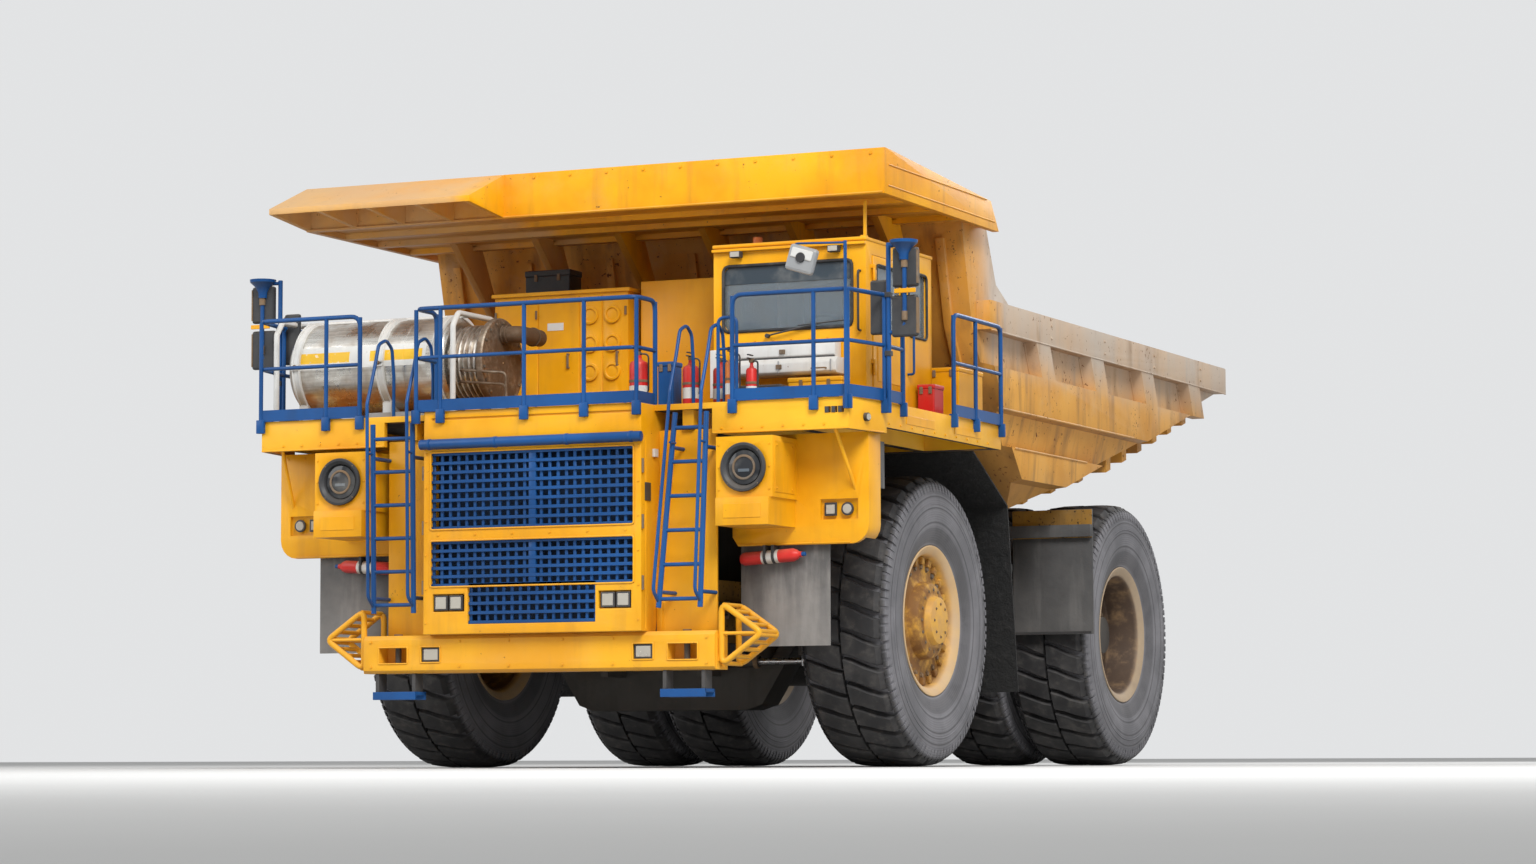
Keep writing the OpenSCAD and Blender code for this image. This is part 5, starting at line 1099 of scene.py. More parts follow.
def makeWingBottle():  # lies under the wing, its neck outwards
    y, start, end, radius = -2.66, (1.965, 2.0485), (2.625, 2.0865), 0.0655
    slope = math.atan2(end[1] - start[1], end[0] - start[0])
    turn = Matrix.Translation(at(start[0], y, start[1])) @ Matrix.Rotation(-slope, 4, "Y")
    profile = [(0.0, 0.0), (0.006, 0.045), (0.03, 0.062), (0.06, radius), (0.57, radius), (0.61, 0.05),
               (0.635, 0.03), (0.66, 0.028), (0.66, 0.0)]
    turned = [(profile, "redPaint", 40), (hoop(0.24, 0.42, radius, radius + 0.0015), "whitePaint", 40)]
    turned += [(hoop(x - 0.015, x + 0.015, radius + 0.0005, radius + 0.0055), "darkPaint", 32)
               for x in (0.28, 0.37)]
    pieces = [paint(rod((0.655, 0, 0), (0.70, 0, 0), 0.022, 16, 0.005), "bluePaint")]
    pieces += [paint(lathe(outline, (0, 0), steps), finish) for outline, finish, steps in turned]
    for piece in pieces:
        piece.data.transform(turn)
    pieces += [box((x, y - 0.07, 2.10), (x + 0.03, -2.595, 2.1797), "darkPaint", 0.003) for x in (2.23, 2.32)]
    return join(pieces, "wingBottle")


def makeCabinet():
    y = -1.25
    pieces = [rework("control_cabinet", 0.005, "yellowPaint"),
              box((-1.59, y - 0.03, deckTop + 1.395), (0.05, y + 1.0, deckTop + 1.436), "yellowPaint", 0.006)]
    port = [(0.0, 0.062), (0.012, 0.066), (0.016, 0.074), (0.012, 0.092), (0.0, 0.097)]
    pieces += [turnedPart(port, (x, y - 0.012, deckTop + 0.26 + 0.3 * k), "yellowPaint")
               for x in (-0.42, -0.16) for k in range(4)]
    for x in (-1.30, -0.68, -0.10):  # handles
        pieces.append(box((x - 0.012, y - 0.03, deckTop + 0.62), (x + 0.012, y - 0.016, deckTop + 0.76),
                          "boltSteel"))
        pieces += [box((x - 0.014, y - 0.03, z), (x + 0.014, y, z + 0.02), "boltSteel")
                   for z in (deckTop + 0.61, deckTop + 0.75)]
    pieces += [bar((x, y - 0.012, z), (x, y - 0.012, z + 0.09), 0.012, "boltSteel", 12)
               for x in (-1.545, -1.06, -0.005) for z in (deckTop + 0.2, deckTop + 1.15)]
    pieces.append(box((-0.93, y - 0.004, deckTop + 1.02), (-0.74, y + 0.001, deckTop + 1.10), "whitePaint",
                      0.001))
    edge = [(-1.53 + 0.17 * k, y - 0.001, deckTop + z) for z in (1.36, 0.05) for k in range(10)]
    return join(pieces + [onFace(edge, toFront, 0.010)], "cabinet")


finishPiece(makeDeckBoxes(), "deck-boxes", "chassis", "dark_steel", "deck_boxes")
left = makeWingBottle()
deckBottles = [(1.44, -2.70, 0.42, 0.085, "redPaint"), (1.70, -2.56, 0.40, 0.075, "redPaint"),
               (0.96, -2.90, 0.47, 0.095, "redPaint"), (2.0, -2.93, 0.42, 0.070, "orangePaint"),
               (2.21, -2.93, 0.34, 0.055, "redPaint")]  # x, y, height, radius and finish
pieces = [mirrored(left), left] + [bottle(*look) for look in deckBottles]
finishPiece(join(pieces, "bottles"), "extinguisher-bottles", "chassis", "red_paint", "extinguishers")
finishPiece(makeCabinet(), "control-cabinet-doors", "chassis", "yellow_paint", "control_cabinet")
print("deck boxes, bottles and cabinet made")


# Cab: gaskets, tinted band, wiper, locker, roof, strips and handles
cab = {"in": 1.34, "out": 3.02, "front": -1.95, "back": -0.20, "sill": 4.40, "head": 5.07, "top": 5.29,
       "door": -1.79, "doorEnd": -0.93}


def makeCabShell():
    inner, outer, front, back, sill, head, top, _, doorEnd = cab.values()
    pieces = [rework("cab_shell", 0.014, "yellowPaint", 3),
              gasket(windowLoop("y", front - 0.001, inner + 0.11, outer - 0.15, sill, head), 0.017),
              gasket(windowLoop("y", back + 0.001, inner + 0.25, outer - 0.25, sill + 0.1, head), 0.014),
              gasket(windowLoop("x", inner - 0.001, front + 0.20, back - 0.25, sill, head), 0.014),
              gasket(windowLoop("x", outer + 0.001, doorEnd + 0.10, back - 0.13, sill, head), 0.014)]
    fillet, y = 0.10, front + 0.03
    bows = [(fillet * (1 - math.sin(turn)), fillet * (1 - math.cos(turn))) for turn in turns(24)[:7]]
    for x, toX in ((inner + 0.11, 1), (outer - 0.15, -1)):  # corners of the windscreen
        for z, toZ in ((sill, 1), (head, -1)):
            corner = [at(x, y, z)] + [at(x + toX * across, y, z + toZ * rise) for across, rise in bows]
            pieces.append(paint(plate(corner, 0.03), "yellowPaint"))
    pieces += [box((inner - 0.012, front - 0.02, top - 0.035), (outer + 0.012, back + 0.02, top + 0.006),
                   "yellowPaint", 0.015),
               box((inner - 0.004, front - 0.05, top - 0.075), (outer + 0.004, front + 0.01, top - 0.045),
                   "yellowPaint", 0.006),
               box((inner - 0.03, front - 0.03, 3.73), (inner + 0.06, front - 0.004, 4.22), "whitePaint",
                   0.006)]
    wiper = [(1.95, front - 0.02, sill - 0.06), (2.02, front - 0.05, sill - 0.05),
             (2.52, front - 0.035, sill + 0.04)]
    pieces += [pipe(wiper, 0.009, "darkPaint", 0.03),
               pipe([(2.28, front - 0.02, sill + 0.03), (2.80, front - 0.02, sill + 0.06)], 0.007,
                    "darkPaint"),
               bar((1.95, front - 0.05, sill - 0.06), (1.95, front, sill - 0.06), 0.022, "darkPaint", 14,
                   0.003)]
    pieces += [handle((2.96, front - 0.002, 4.35), (2.96, front - 0.002, 4.95), (0, -0.058, 0), 0.012,
                      "darkPaint", 0.03),
               handle((outer + 0.002, -0.86, 4.0), (outer + 0.002, -0.86, 4.7), (0.068, 0, 0), 0.013,
                      "bluePaint", 0.03)]
    for x in (1.62, 2.70):  # work lamps under the roof's front edge
        pieces += [box((x - 0.06, front - 0.10, top - 0.145), (x + 0.06, front - 0.02, top - 0.076),
                       "darkPaint", 0.01),
                   box((x - 0.05, front - 0.106, top - 0.137), (x + 0.05, front - 0.098, top - 0.084),
                       "lampGlass", 0.003)]
    # aerial post
    pieces += [box((2.985, front + 0.02, top - 0.002), (3.015, front + 0.05, 5.66), "yellowPaint"),
               box((2.96, front, top - 0.002), (3.02, front + 0.07, top + 0.02), "yellowPaint"),
               bar((1.72, front + 0.25, top - 0.002), (1.72, front + 0.25, top + 0.10), 0.05, "orangePaint",
                   24, 0.01),
               onFace([(inner + 0.06 + 0.2 * k, front - 0.0005, 4.30) for k in range(8)], toFront, 0.009)]
    return join(pieces, "cabShell")


def makeCabGlass():
    front, head = cab["front"], cab["head"]
    band = box((cab["in"] + 0.112, front + 0.018, 4.885), (cab["out"] - 0.152, front + 0.0245, head - 0.002),
               "tintBand", 0)
    return join([rework("cab_glass", 0, "cabGlass"), band], "cabGlass")


def makeLocker():
    front = cab["front"] - 0.0003
    pieces = [rework("cab_locker", 0.012, "whitePaint", 3),
              box((1.60, front - 0.176, 4.082), (2.75, front - 0.166, 4.094), "darkPaint", 0)]
    pieces += [box((2.15, y, z - 0.02), (2.21, y + 0.03, z + 0.025), "boltSteel")
               for y, z in ((front - 0.19, 4.15), (front - 0.275, 3.99))]
    pieces += [box((x, front - 0.272, 3.93), (x + 0.012, front - 0.25, 4.05), "greyPlastic", 0.003)
               for x in (1.60, 2.17, 2.74)]
    y, z = front - 0.27, 3.96
    return join(pieces + [handle((2.55, y, z), (2.70, y, z), (0, -0.04, 0), 0.008, "boltSteel", 0.02)],
                "locker")


def makeDoor():
    outer, start, end = cab["out"], cab["door"], cab["doorEnd"]
    window = windowLoop("x", outer + 0.009, start + 0.098, end - 0.098, cab["sill"], cab["head"] - 0.03)
    return join([rework("cab_door", 0.006, "yellowPaint"), gasket(window, 0.012),
                 box((outer + 0.008, start + 0.12, 3.86), (outer + 0.014, end - 0.13, 4.22), "yellowPaint",
                     0.003)], "door")


shade = Shade("blackRubber", Roughness=0.62)
shade.feed("Base Color",
           shade.mix(shade.noise(9, 5).rise(0.45, 0.8) * 0.5, (0.018, 0.018, 0.019), (0.12, 0.11, 0.10)))
shade.bump(shade.noise(90, 3), 0.15, 0.001)
materials["blackRubber"] = shade.material
finishPiece(makeCabShell(), "cab-shell-trim", "chassis", "yellow_paint", "cab_shell")
finishPiece(makeCabGlass(), "cab-panes", "chassis", "cab_glass", "cab_glass")
finishPiece(makeLocker(), "cab-locker-doors", "chassis", "white_paint", "cab_locker")
finishPiece(makeDoor(), "cab-door-panel", "cab_door", "yellow_paint", "cab_door")
print("cab made")


# Bumper, its guards and the hood
def makeBumper():
    y = -3.28
    pieces = [rework("bumper", 0.012, "yellowPaint"),
              onFace([(x, y + 0.001, z) for x in (-1.88, -0.86, -0.3, 0.3, 0.86, 1.88) for z in (1.02, 1.27)],
                     toFront, 0.014),
              weld([(-1.9, y + 0.27, 1.336), (1.9, y + 0.27, 1.336)], 0.007, "yellowPaint")]
    for side in (1, -1):
        for middle, half, z, tall in ((1.62, 0.165, 1.134, 0.0825), (1.19, 0.1125, 1.139, 0.08)):
            x = side * middle
            window = windowLoop("y", y - 0.002, x - half, x + half, z - tall, z + tall)
            pieces.append(gasket(window, 0.008, 0.012, "yellowPaint"))
        x = side * 1.62  # tow pin behind its opening
        pieces += [span(side, 1.47, 1.77, y + 0.19, y + 0.2, 1.06, 1.21, "darkPaint", 0),
                   bar((x, y + 0.11, 1.052), (x, y + 0.11, 1.216), 0.031, "greasySteel", 20),
                   bar((x, y + 0.11, 1.336), (x, y + 0.11, 1.352), 0.045, "boltSteel", 20, 0.003)]
    return join(pieces, "bumper")


guard = {"x": 2.0043, "front": -3.20, "low": 0.994, "high": 1.60, "tipX": 2.435, "tipZ": 1.304, "tube": 0.031,
         "rung": 0.022}


def makeGuard():
    x, y, low, high, tipX, tipZ, thick, thin = guard.values()
    finish, middle, back = "yellowPaint", (low + high) / 2, y + 0.4
    pieces = [box((1.9653, y - 0.05, 0.954), (1.9773, -3.0, 1.335), finish)]
    for depth in (y, back):
        frameLoop = [(x, depth, middle), (x, depth, high), (tipX, depth, tipZ), (x, depth, low),
                     (x, depth, middle)]
        pieces += [pipe(frameLoop, thick, finish, 0.05, 4),
                   bar((x, depth, tipZ), (tipX - 0.02, depth, tipZ), 0.018, finish, 12)]
    for end in (high, low):
        for share in (0.06, 0.28, 0.50, 0.72, 0.94):
            across, height = x + (tipX - x) * share, end + (tipZ - end) * share
            pieces.append(bar((across, y, height), (across, back, height), thin, finish, 12))
    pieces += [box((1.976, y - 0.02, z), (x, y + 0.02, z + 0.06), finish, 0.003) for z in (1.034, 1.254)]
    pieces.append(onFace([(1.9773, y + d, z) for d in (0.05, 0.15) for z in (1.0, 1.29)], (1, 0, 0), 0.013))
    return join(pieces, "guard")


def makeHood():
    y, half = -3.38, 1.22
    pieces = [rework("hood", 0.016, "yellowPaint", 3),
              span(1, half, half + 0.012, -3.30, -3.18, 2.62, 2.80, "greasySteel")]
    for across, low, high in grille["parts"][:2]:
        opening = windowLoop("y", y - 0.002, -across, across, low, high)
        pieces.append(gasket(opening, 0.010, 0.03, "yellowPaint"))
    spots = [(side * 1.19, y + 0.0005, 1.45 + 0.34 * k) for side in (1, -1) for k in range(6)]
    pieces.append(onFace(spots + [(-1.05 + 0.42 * k, y + 0.0005, 2.33) for k in range(6)], toFront, 0.011))
    for side in (1, -1):
        pin, seam = side * (half + 0.012), side * (half + 0.001)
        for z in (1.75, 2.35, 2.9):  # hinges of the grille frames
            pieces += [span(side, half, half + 0.014, y + 0.02, y + 0.06, z, z + 0.12, "yellowPaint"),
                       bar((pin, y + 0.015, z - 0.01), (pin, y + 0.015, z + 0.13), 0.012, "boltSteel", 12)]
        pieces += [weld([(seam, y + 0.10, 1.36), (seam, y + 0.10, 3.24)], 0.007, "yellowPaint"),
                   bar((side * 0.8, -3.1, deckTop - 0.001), (side * 0.8, -3.1, deckTop + 0.03), 0.09,
                       "yellowPaint", 28, 0.008)]
    return join(pieces, "hood")


finishPiece(makeBumper(), "bumper-body", "chassis", "yellow_paint", "bumper")
left = makeGuard()
finishPiece(join([mirrored(left), left], "guards"), "bumper-guard-tubes", "chassis", "yellow_paint",
            "bumper_guards")
finishPiece(makeHood(), "hood-body", "chassis", "yellow_paint", "hood")
finishPiece(makeLamps(), "lamps-and-lenses", "chassis", "lamp_lens", "lamps")
print("bumper, hood and lamps made")


# Wings, deck edges and the rubber sheets
def makeWings():
    front = -3.24
    pieces = [rework("wings", 0.010, "yellowPaint")]
    for side in (1, -1):
        fascia = [(side * (2.268 + dx), front, z) for dx in (-0.27, 0.27) for z in (2.70, 2.92, 3.14)]
        fascia += [(side * x, -2.65, 3.22) for x in (2.65, 2.85, 3.05, 3.25)]
        lid = [(side * 2.577, y, z) for y in (-3.15, -2.78) for z in (2.71, 3.13)]
        pieces += [onFace(fascia, toFront, 0.010),
                   onFace(lid, (side, 0, 0), 0.010),
                   span(side, 2.07, 2.47, front - 0.066, front - 0.0595, 2.42, 2.56, "yellowPaint", 0.003),
                   span(side, 2.5705, 2.577, front + 0.05, -2.72, 2.67, 3.17, "yellowPaint", 0.003),
                   weld([(side * 1.93, -2.653, 2.192), (side * 3.14, -2.653, 2.192)], 0.010, "yellowPaint")]
    return join(pieces, "wings")


def makeDeck():
    pieces = [rework("deck", 0.008, "deckPaint"),
              # marker lamp
              bar((3.352, -2.775, 3.40), (3.395, -2.785, 3.40), 0.042, "greasySteel", 24, 0.006),
              bar((3.39, -2.783, 3.40), (3.40, -2.786, 3.40), 0.032, "lampGlass", 24, 0.003)]
    pieces += [box((x, -3.088, 3.43), (x + 0.04, -3.078, 3.49), "darkPaint", 0) for x in (3.06, 3.13, 3.20)]
    for side in (1, -1):
        edge = [(side * x, y, 3.276) for x, y in ((1.86, -3.084), (3.30, -3.084), (3.402, -2.44))]
        pieces += [weld(edge, 0.010, "yellowPaint"),
                   onFace([(side * (1.95 + 0.22 * k), -3.0803, 3.32) for k in range(6)], toFront, 0.011),
                   onFace([(side * 3.4072, -2.3 + 0.3 * k, 3.37) for k in range(10)], (side, 0, 0), 0.011)]
        pieces += [span(side, 3.402, 3.413, y, y + 0.75, 3.40, 3.49, "yellowPaint")
                   for y in (-1.85, -0.55)]  # bolted covers on the side face
        pieces += [span(side, 1.25, 3.38, y, y + 0.012, deckTop - 0.001, deckTop + 0.004, "deckPaint", 0)
                   for y in (-2.2, -1.2, -0.2)]  # joints of the deck plates
    return join(pieces, "deck")


def makeFlaps():
    pieces = [rework("rubber_flaps", 0.004, "flapRubber")]
    for side in (1, -1):
        front = [(side * x, -2.5978, 2.23) for x in (2.0, 2.2, 2.4, 2.6, 2.8)]
        back = [(side * (2.52 + 0.2 * k), 3.6265, 2.60) for k in range(5)]
        pieces += [onFace(front + back, toFront, 0.014, "boltSteel"),
                   span(side, 1.96, 2.86, -2.598, -2.5895, 2.20, 2.26, "darkPaint"),
                   span(side, 2.45, 3.40, 3.626, 3.641, 2.55, 2.868, "framePaint"),
                   span(side, 2.47, 3.38, 3.632, 3.641, 1.475, 1.50, "darkPaint", 0)]
    return join(pieces, "flaps")


def makeDeckPaint():  # worn on top, painted shade (near black) on the faces that look down, with the studs of chequered plate
    shade = Shade("deckPaint", Coat_Roughness=0.3)
    up = shade.facing()
    below = (up * -1.0).rise(0.3, 0.8)
    worn = (shade.noise(1.3, 5) + shade.noise(9, 4) * 0.4).rise(0.45, 0.95)
    # painted shade: faces that look down are painted near black, in patches
    darkening = (below * (shade.noise(2.4, 6).rise(0.2, 0.55) * 0.35 + 0.65)).clip()
    colour = shade.mix(shade.noise(0.9, 4).rise(0.35, 0.65), (0.80, 0.37, 0.006), (0.92, 0.47, 0.012))
    colour = shade.mix(up.rise(0.5, 0.9) * (worn * 0.7 + 0.2), colour, (0.24, 0.19, 0.14))
    colour = shade.mix(darkening, colour, (0.022, 0.019, 0.017))
    shade.feed("Base Color", shade.mix(shade.flakes(0.80), colour, (0.14, 0.05, 0.02)))
    shade.feed("Roughness", (worn * 0.25 + below * 0.3 + 0.42).clip())
    values = {"Vector": shade.place, "Scale": 22.0, "Randomness": 0.0}
    studs = shade.node("ShaderNodeTexVoronoi", {"distance": "CHEBYCHEV"}, values, "Distance")
    shade.bump((1 - studs.rise(0.25, 0.4)) * up.rise(0.5, 0.9), 0.5, 0.003)
    shade.bump(shade.noise(8, 6) * below + shade.noise(160, 2) * 0.1, 0.3, 0.012)
    return shade.material


materials["deckPaint"] = makeDeckPaint()
finishPiece(makeWings(), "wings-body", "chassis", "yellow_paint", "wings")
finishPiece(makeDeck(), "deck-body", "chassis", "yellow_paint", "deck")
finishPiece(makeFlaps(), "rubber-sheets", "chassis", "flap_rubber", "rubber_flaps")
print("wings, deck and flaps made")


# Bed and canopy with their welds and edge bars
def floorZ(y):  # underside of the bed's floor
    return 3.282 + 0.2716 * (y - 4.0)


def makeBed():
    finish = "dustyPaint"
    pieces = [rework("bed_shell", 0.012, finish)]
    for side in (1, -1):
        for x, start, end, z, radius in ((3.301, 0.80, 8.93, 4.617, 0.010), (3.299, 1.0, 5.4, 3.802, 0.012),
                                         (3.232, 1.65, 3.95, 3.418, 0.012)):
            pieces.append(weld([(side * x, start, z), (side * x, end, z)], radius, finish))
        for y in (2.35 + 1.76 * k for k in range(4)):  # posts
            pieces += [weld([(side * 3.155, edge, 4.255), (side * 3.155, edge - 0.18, 4.61)], 0.010, finish)
                       for edge in (y, y + 0.43)]
            pieces.append(onFace([(side * 3.2995, y + 0.30, z) for z in (4.70, 4.84)], (side, 0, 0), 0.016,
                                 finish))
        for k in range(10):  # ribs below the floor
            y, half = 3.3 + 0.56 * k, min(3.1, 2.7 + 0.13 * k)
            place = y - 0.004, floorZ(y) - 0.004
            pieces.append(weld([(side * 1.0, *place), (side * half, *place)], 0.010, finish))
        pieces.append(span(side, 3.10, 3.298, 0.80, 8.93, 4.928, 4.936, finish, 0.003))
    return join(pieces, "bed")


def makeCanopy():
    low, front, half, finish = 5.68, -2.19, 3.33, "canopyPaint"
    lip = front - 0.006, low + 0.014
    pieces = [rework("canopy", 0.010, finish),
              weld([(-half + 0.02, *lip), (half - 0.02, *lip)], 0.013, finish),
              onFace([(-0.6 + 0.42 * k, front - 0.0005, 6.09) for k in range(10)], toFront, 0.013, finish)]
    for side in (1, -1):
        x = side * (half + 0.002)
        pieces += [weld([(x, front + start, low + height), (x, front + end, low + height)], 0.008, finish)
                   for height, start, end in ((0.09, 0.08, 3.04), (0.30, 0.10, 2.80))]
        pieces += [weld([(side * 0.2, y, low + 0.06), (side * 3.25, y, low + 0.06)], 0.009, finish)
                   for y in (-1.503, -0.803, -0.103)]
        pieces += [span(side, x - 0.09, x + 0.09, -0.10, 0.02, low + 0.035, low + 0.0605, finish, 0.003)
                   for x in (0.5, 1.5, 2.5)]  # pads at the heads of the braces
    return join(pieces, "canopy")


finishPiece(makeBed(), "bed-shell-welded", "bed", "dusty_paint", "bed_shell")
finishPiece(makeCanopy(), "canopy-welded", "bed", "yellow_paint", "canopy")
print("bed and canopy made")


# Frame, axles and tanks
def boltRing(centre, radius, count, normal, size):  # bolts round a point, standing along the normal
    level = Vector((0, 1, 0) if normal[0] else (1, 0, 0))
    upright = Vector((0, 1, 0) if normal[2] else (0, 0, 1))
    arms = [level * math.cos(a) + upright * math.sin(a) for a in turns(count)]
    return bolts([at(*centre) + arm * radius for arm in arms], normal, size)


def makeFrame():
    pieces = [rework("frame_rails", 0.012, "framePaint")]
    for side in (1, -1):
        x, outwards = side * 0.831, (side, 0, 0)
        spots = [(x, y, z) for y in (-2.4, -2.0, -0.9, 0.9, 1.3) for z in (1.42, 1.82)]
        spots += [(x, y, z) for y in (3.4, 4.6, 5.8) for z in (2.2, 2.6)]
        pieces += [onFace(spots, outwards, 0.020, "boltSteel"),
                   boltRing((side * 1.0, 6.95, 2.48), 0.055, 6, outwards, 0.012)]
        for drop, radius in ((0.0, 0.017), (0.06, 0.012), (0.11, 0.012)):  # pipes clipped along the rail
            path = [(-2.3, 1.70), (1.2, 1.70), (1.9, 2.36), (5.2, 2.36)]
            pieces.append(pipe([(x + side * 0.03, y, z - drop) for y, z in path], radius, "darkPaint", 0.2))
        for y, z in ((-1.8, 1.645), (-0.6, 1.645), (0.8, 1.645), (3.2, 2.305), (4.3, 2.305)):
            pieces.append(span(side, 0.83, 0.885, y - 0.02, y + 0.02, z - 0.10, z + 0.09, "boltSteel"))
    return join(pieces, "frame")


def makeFrontAxle():
    pieces = [rework("front_axle", 0.014, "greasySteel")]
    for side in (1, -1):
        x, pin = side * 1.04, side * 1.75
        pieces += [bar((x, 0, 1.73), (x, 0, 1.95), 0.112, "chromedRod", 32),
                   bar((x, 0, 1.92), (x, 0, 1.952), 0.160, "boltSteel", 36, 0.008),
                   bar((pin, 0, 1.878), (pin, 0, 1.905), 0.07, "boltSteel", 24, 0.005),
                   boltRing((x, 0, 2.311), 0.12, 10, upward, 0.014)]
    return join(pieces, "frontAxle")


def makeRearAxle():
    y = rearY - frontY
    pieces = [rework("rear_axle", 0.014, "greasySteel"),
              bar((0, y + 0.44, hubZ), (0, y + 0.50, hubZ), 0.33, "greasySteel", 48, 0.012),
              boltRing((0, y + 0.5, hubZ), 0.29, 16, (0, 1, 0), 0.018)]
    for side in (1, -1):
        hose = [(side * 0.5, y - 0.49, 1.62), (side * 0.9, y - 0.47, 1.70), (side * 1.1, y - 0.3, 1.75)]
        pieces += [boltRing((side * 1.021, y, hubZ), 0.44, 28, (-side, 0, 0), 0.016),
                   pipe(hose, 0.02, "darkPaint", 0.1)]
    return join(pieces, "rearAxle")


tanks = [{"side": -1, "out": 2.35, "low": 1.15, "high": 2.30, "start": 2.2, "end": 3.15},
         {"side": 1, "out": 2.10, "low": 1.25, "high": 2.25, "start": 2.2, "end": 3.1}]


def makeTanks():
    pieces = [rework("side_tanks", 0.045, "framePaint", 4)]
    for tank in tanks:
        side, out, low, high, start, end = tank.values()
        skin, inner = side * (out + 0.003), side * 0.85
        for y in (start + 0.25, end - 0.25):  # straps round the tank
            strap = [(skin, y, low + 0.1), (skin, y, high + 0.003), (inner, y, high + 0.003),
                     (inner, y, low - 0.003), (skin, y, low - 0.003), (skin, y, low + 0.1)]
            pieces.append(pipe(strap, 0.012, "darkPaint", 0.06, 1))
        x, y, gaugeY, gaugeZ = side * (out - 0.3), (start + end) / 2, start + 0.13, low + 0.35
        pieces += [bar((x, y, high - 0.01), (x, y, high + 0.06), 0.07, "boltSteel", 28, 0.01),
                   bar((x, y, high + 0.055), (x, y, high + 0.09), 0.055, "yellowPaint", 28, 0.008),
                   bar((side * out, gaugeY, gaugeZ), (side * (out + 0.012), gaugeY, gaugeZ), 0.045,
                       "boltSteel", 24, 0.003)]
    return join(pieces, "tanks")


finishPiece(makeFrame(), "frame-with-pipes", "chassis", "yellow_paint", "frame_rails")
finishPiece(makeFrontAxle(), "front-axle-beam", "chassis", "dark_steel", "front_axle")
finishPiece(makeRearAxle(), "rear-axle-housing", "chassis", "dark_steel", "rear_axle")
finishPiece(makeTanks(), "side-tanks-strapped", "chassis", "yellow_paint", "side_tanks")
print("frame, axles and tanks made")


# Steering and hoist cylinders with their gland rings, and the knuckles
cylinders = {  # eyes of the left barrel, then how far each ring is from the first eye and how wide
    "hoist": {"start": (1.0, 4.2, 1.25), "end": (1.0, 4.1, 2.95), "rings": ((1.42, 0.06), (0.16, 0.04)),
              "inner": 0.126, "outer": 0.140, "edge": 0.006, "finish": "framePaint",
              "ringFinish": "greasySteel", "slot": "yellow_paint"},
    "steer": {"start": (0.62, -0.545, 1.10), "end": (1.75, -0.545, 1.10),
              "rings": ((0.53, 0.05), (0.05, 0.03)), "inner": 0.062, "outer": 0.074, "edge": 0.005,
              "finish": "greasySteel", "ringFinish": "boltSteel", "slot": "dark_steel"},
}


def makeBarrel(kind, side, word):
    look = cylinders[kind]
    inner, outer, edge = look["inner"], look["outer"], 0.004
    (x0, y0, z0), (x1, y1, z1) = look["start"], look["end"]
    start, end = at(side * x0, y0, z0), at(side * x1, y1, z1)
    turn = Matrix.Translation(start) @ (end - start).to_track_quat("X", "Z").to_matrix().to_4x4()
    pieces = [rework(kind + "_barrel_" + word, look["edge"], look["finish"])]
    for first, wide in look["rings"]:
        last = first + wide
        ring = lathe([(first, inner), (first, outer - edge), (first + edge, outer), (last - edge, outer),
                      (last, outer - edge), (last, inner)], (0, 0), 40)
        ring.data.transform(turn)
        pieces.append(paint(ring, look["ringFinish"]))
    return join(pieces, "barrel")


for side, word in sides:
    for kind, look in cylinders.items():
        body = kind + "_barrel_" + word
        finishPiece(makeBarrel(kind, side, word), kind + "-barrel-rings-" + word, body, look["slot"], body)
    body = "knuckle_" + word
    finishPiece(rework(body, 0.012, "greasySteel"), "knuckle-forging-" + word, body, "dark_steel", body)
print("cylinders and knuckles made")


# Driver's seat and the cab's inside: cushions swollen by Cloth, then piped along their seams
seat = {"x": 2.38, "voxel": 0.012, "pressure": 4.0, "frames": 15, "cap": 0.022, "piping": 0.006}


def makeCushion(loop, normal, thick):  # loop is the seam, halfway up the cushion
    obj = modify(drawLine(loop, closed=True), "SOLIDIFY", thickness=thick, offset=0)
    soften(obj, thick * 0.3, 3)
    modify(obj, "REMESH", mode="VOXEL", voxel_size=seat["voxel"])
    flat = [vertex.co.copy() for vertex in obj.data.vertices]
    pick(obj)
    cloth = obj.modifiers.new("Cloth", "CLOTH")
    cloth.settings.use_pressure = True
    cloth.settings.uniform_pressure_force = seat["pressure"]
    cloth.settings.effector_weights.gravity = 0
    for step in range(1, seat["frames"] + 1):
        bpy.context.scene.frame_set(step)
    bpy.ops.object.modifier_apply(modifier=cloth.name)
    bpy.context.scene.frame_set(1)
    for vertex, start in zip(obj.data.vertices, flat):
        moved = vertex.co - start
        if moved.length > seat["cap"]:
            vertex.co = start + moved.normalized() * seat["cap"]
    modify(obj, "SUBSURF", levels=1, render_levels=1)
    pieces = [smooth(paint(obj, "seatCloth"), 60)]
    for lift in (-0.31, 0.31):
        seam = [p + normal * thick * lift for p in loop]
        centre = sum(seam, Vector()) / 4
        pieces.append(gasket([p.lerp(centre, -0.015) for p in seam], seat["piping"], 0.05, "darkPaint"))
    return join(pieces, "cushion")


def makeSeat():
    x, cushions = seat["x"], []
    for (wide, y0, z0), (narrow, y1, z1), thick in (((0.235, -1.125, 3.98), (0.235, -0.645, 3.98), 0.10),
                                                    ((0.225, -0.655, 4.08), (0.205, -0.565, 4.70), 0.08)):
        loop = [at(x - wide, y0, z0), at(x + wide, y0, z0), at(x + narrow, y1, z1), at(x - narrow, y1, z1)]
        normal = (loop[1] - loop[0]).cross(loop[2] - loop[1]).normalized()
        cushions.append(makeCushion(loop, normal, thick))
    return join(cushions, "cushions")


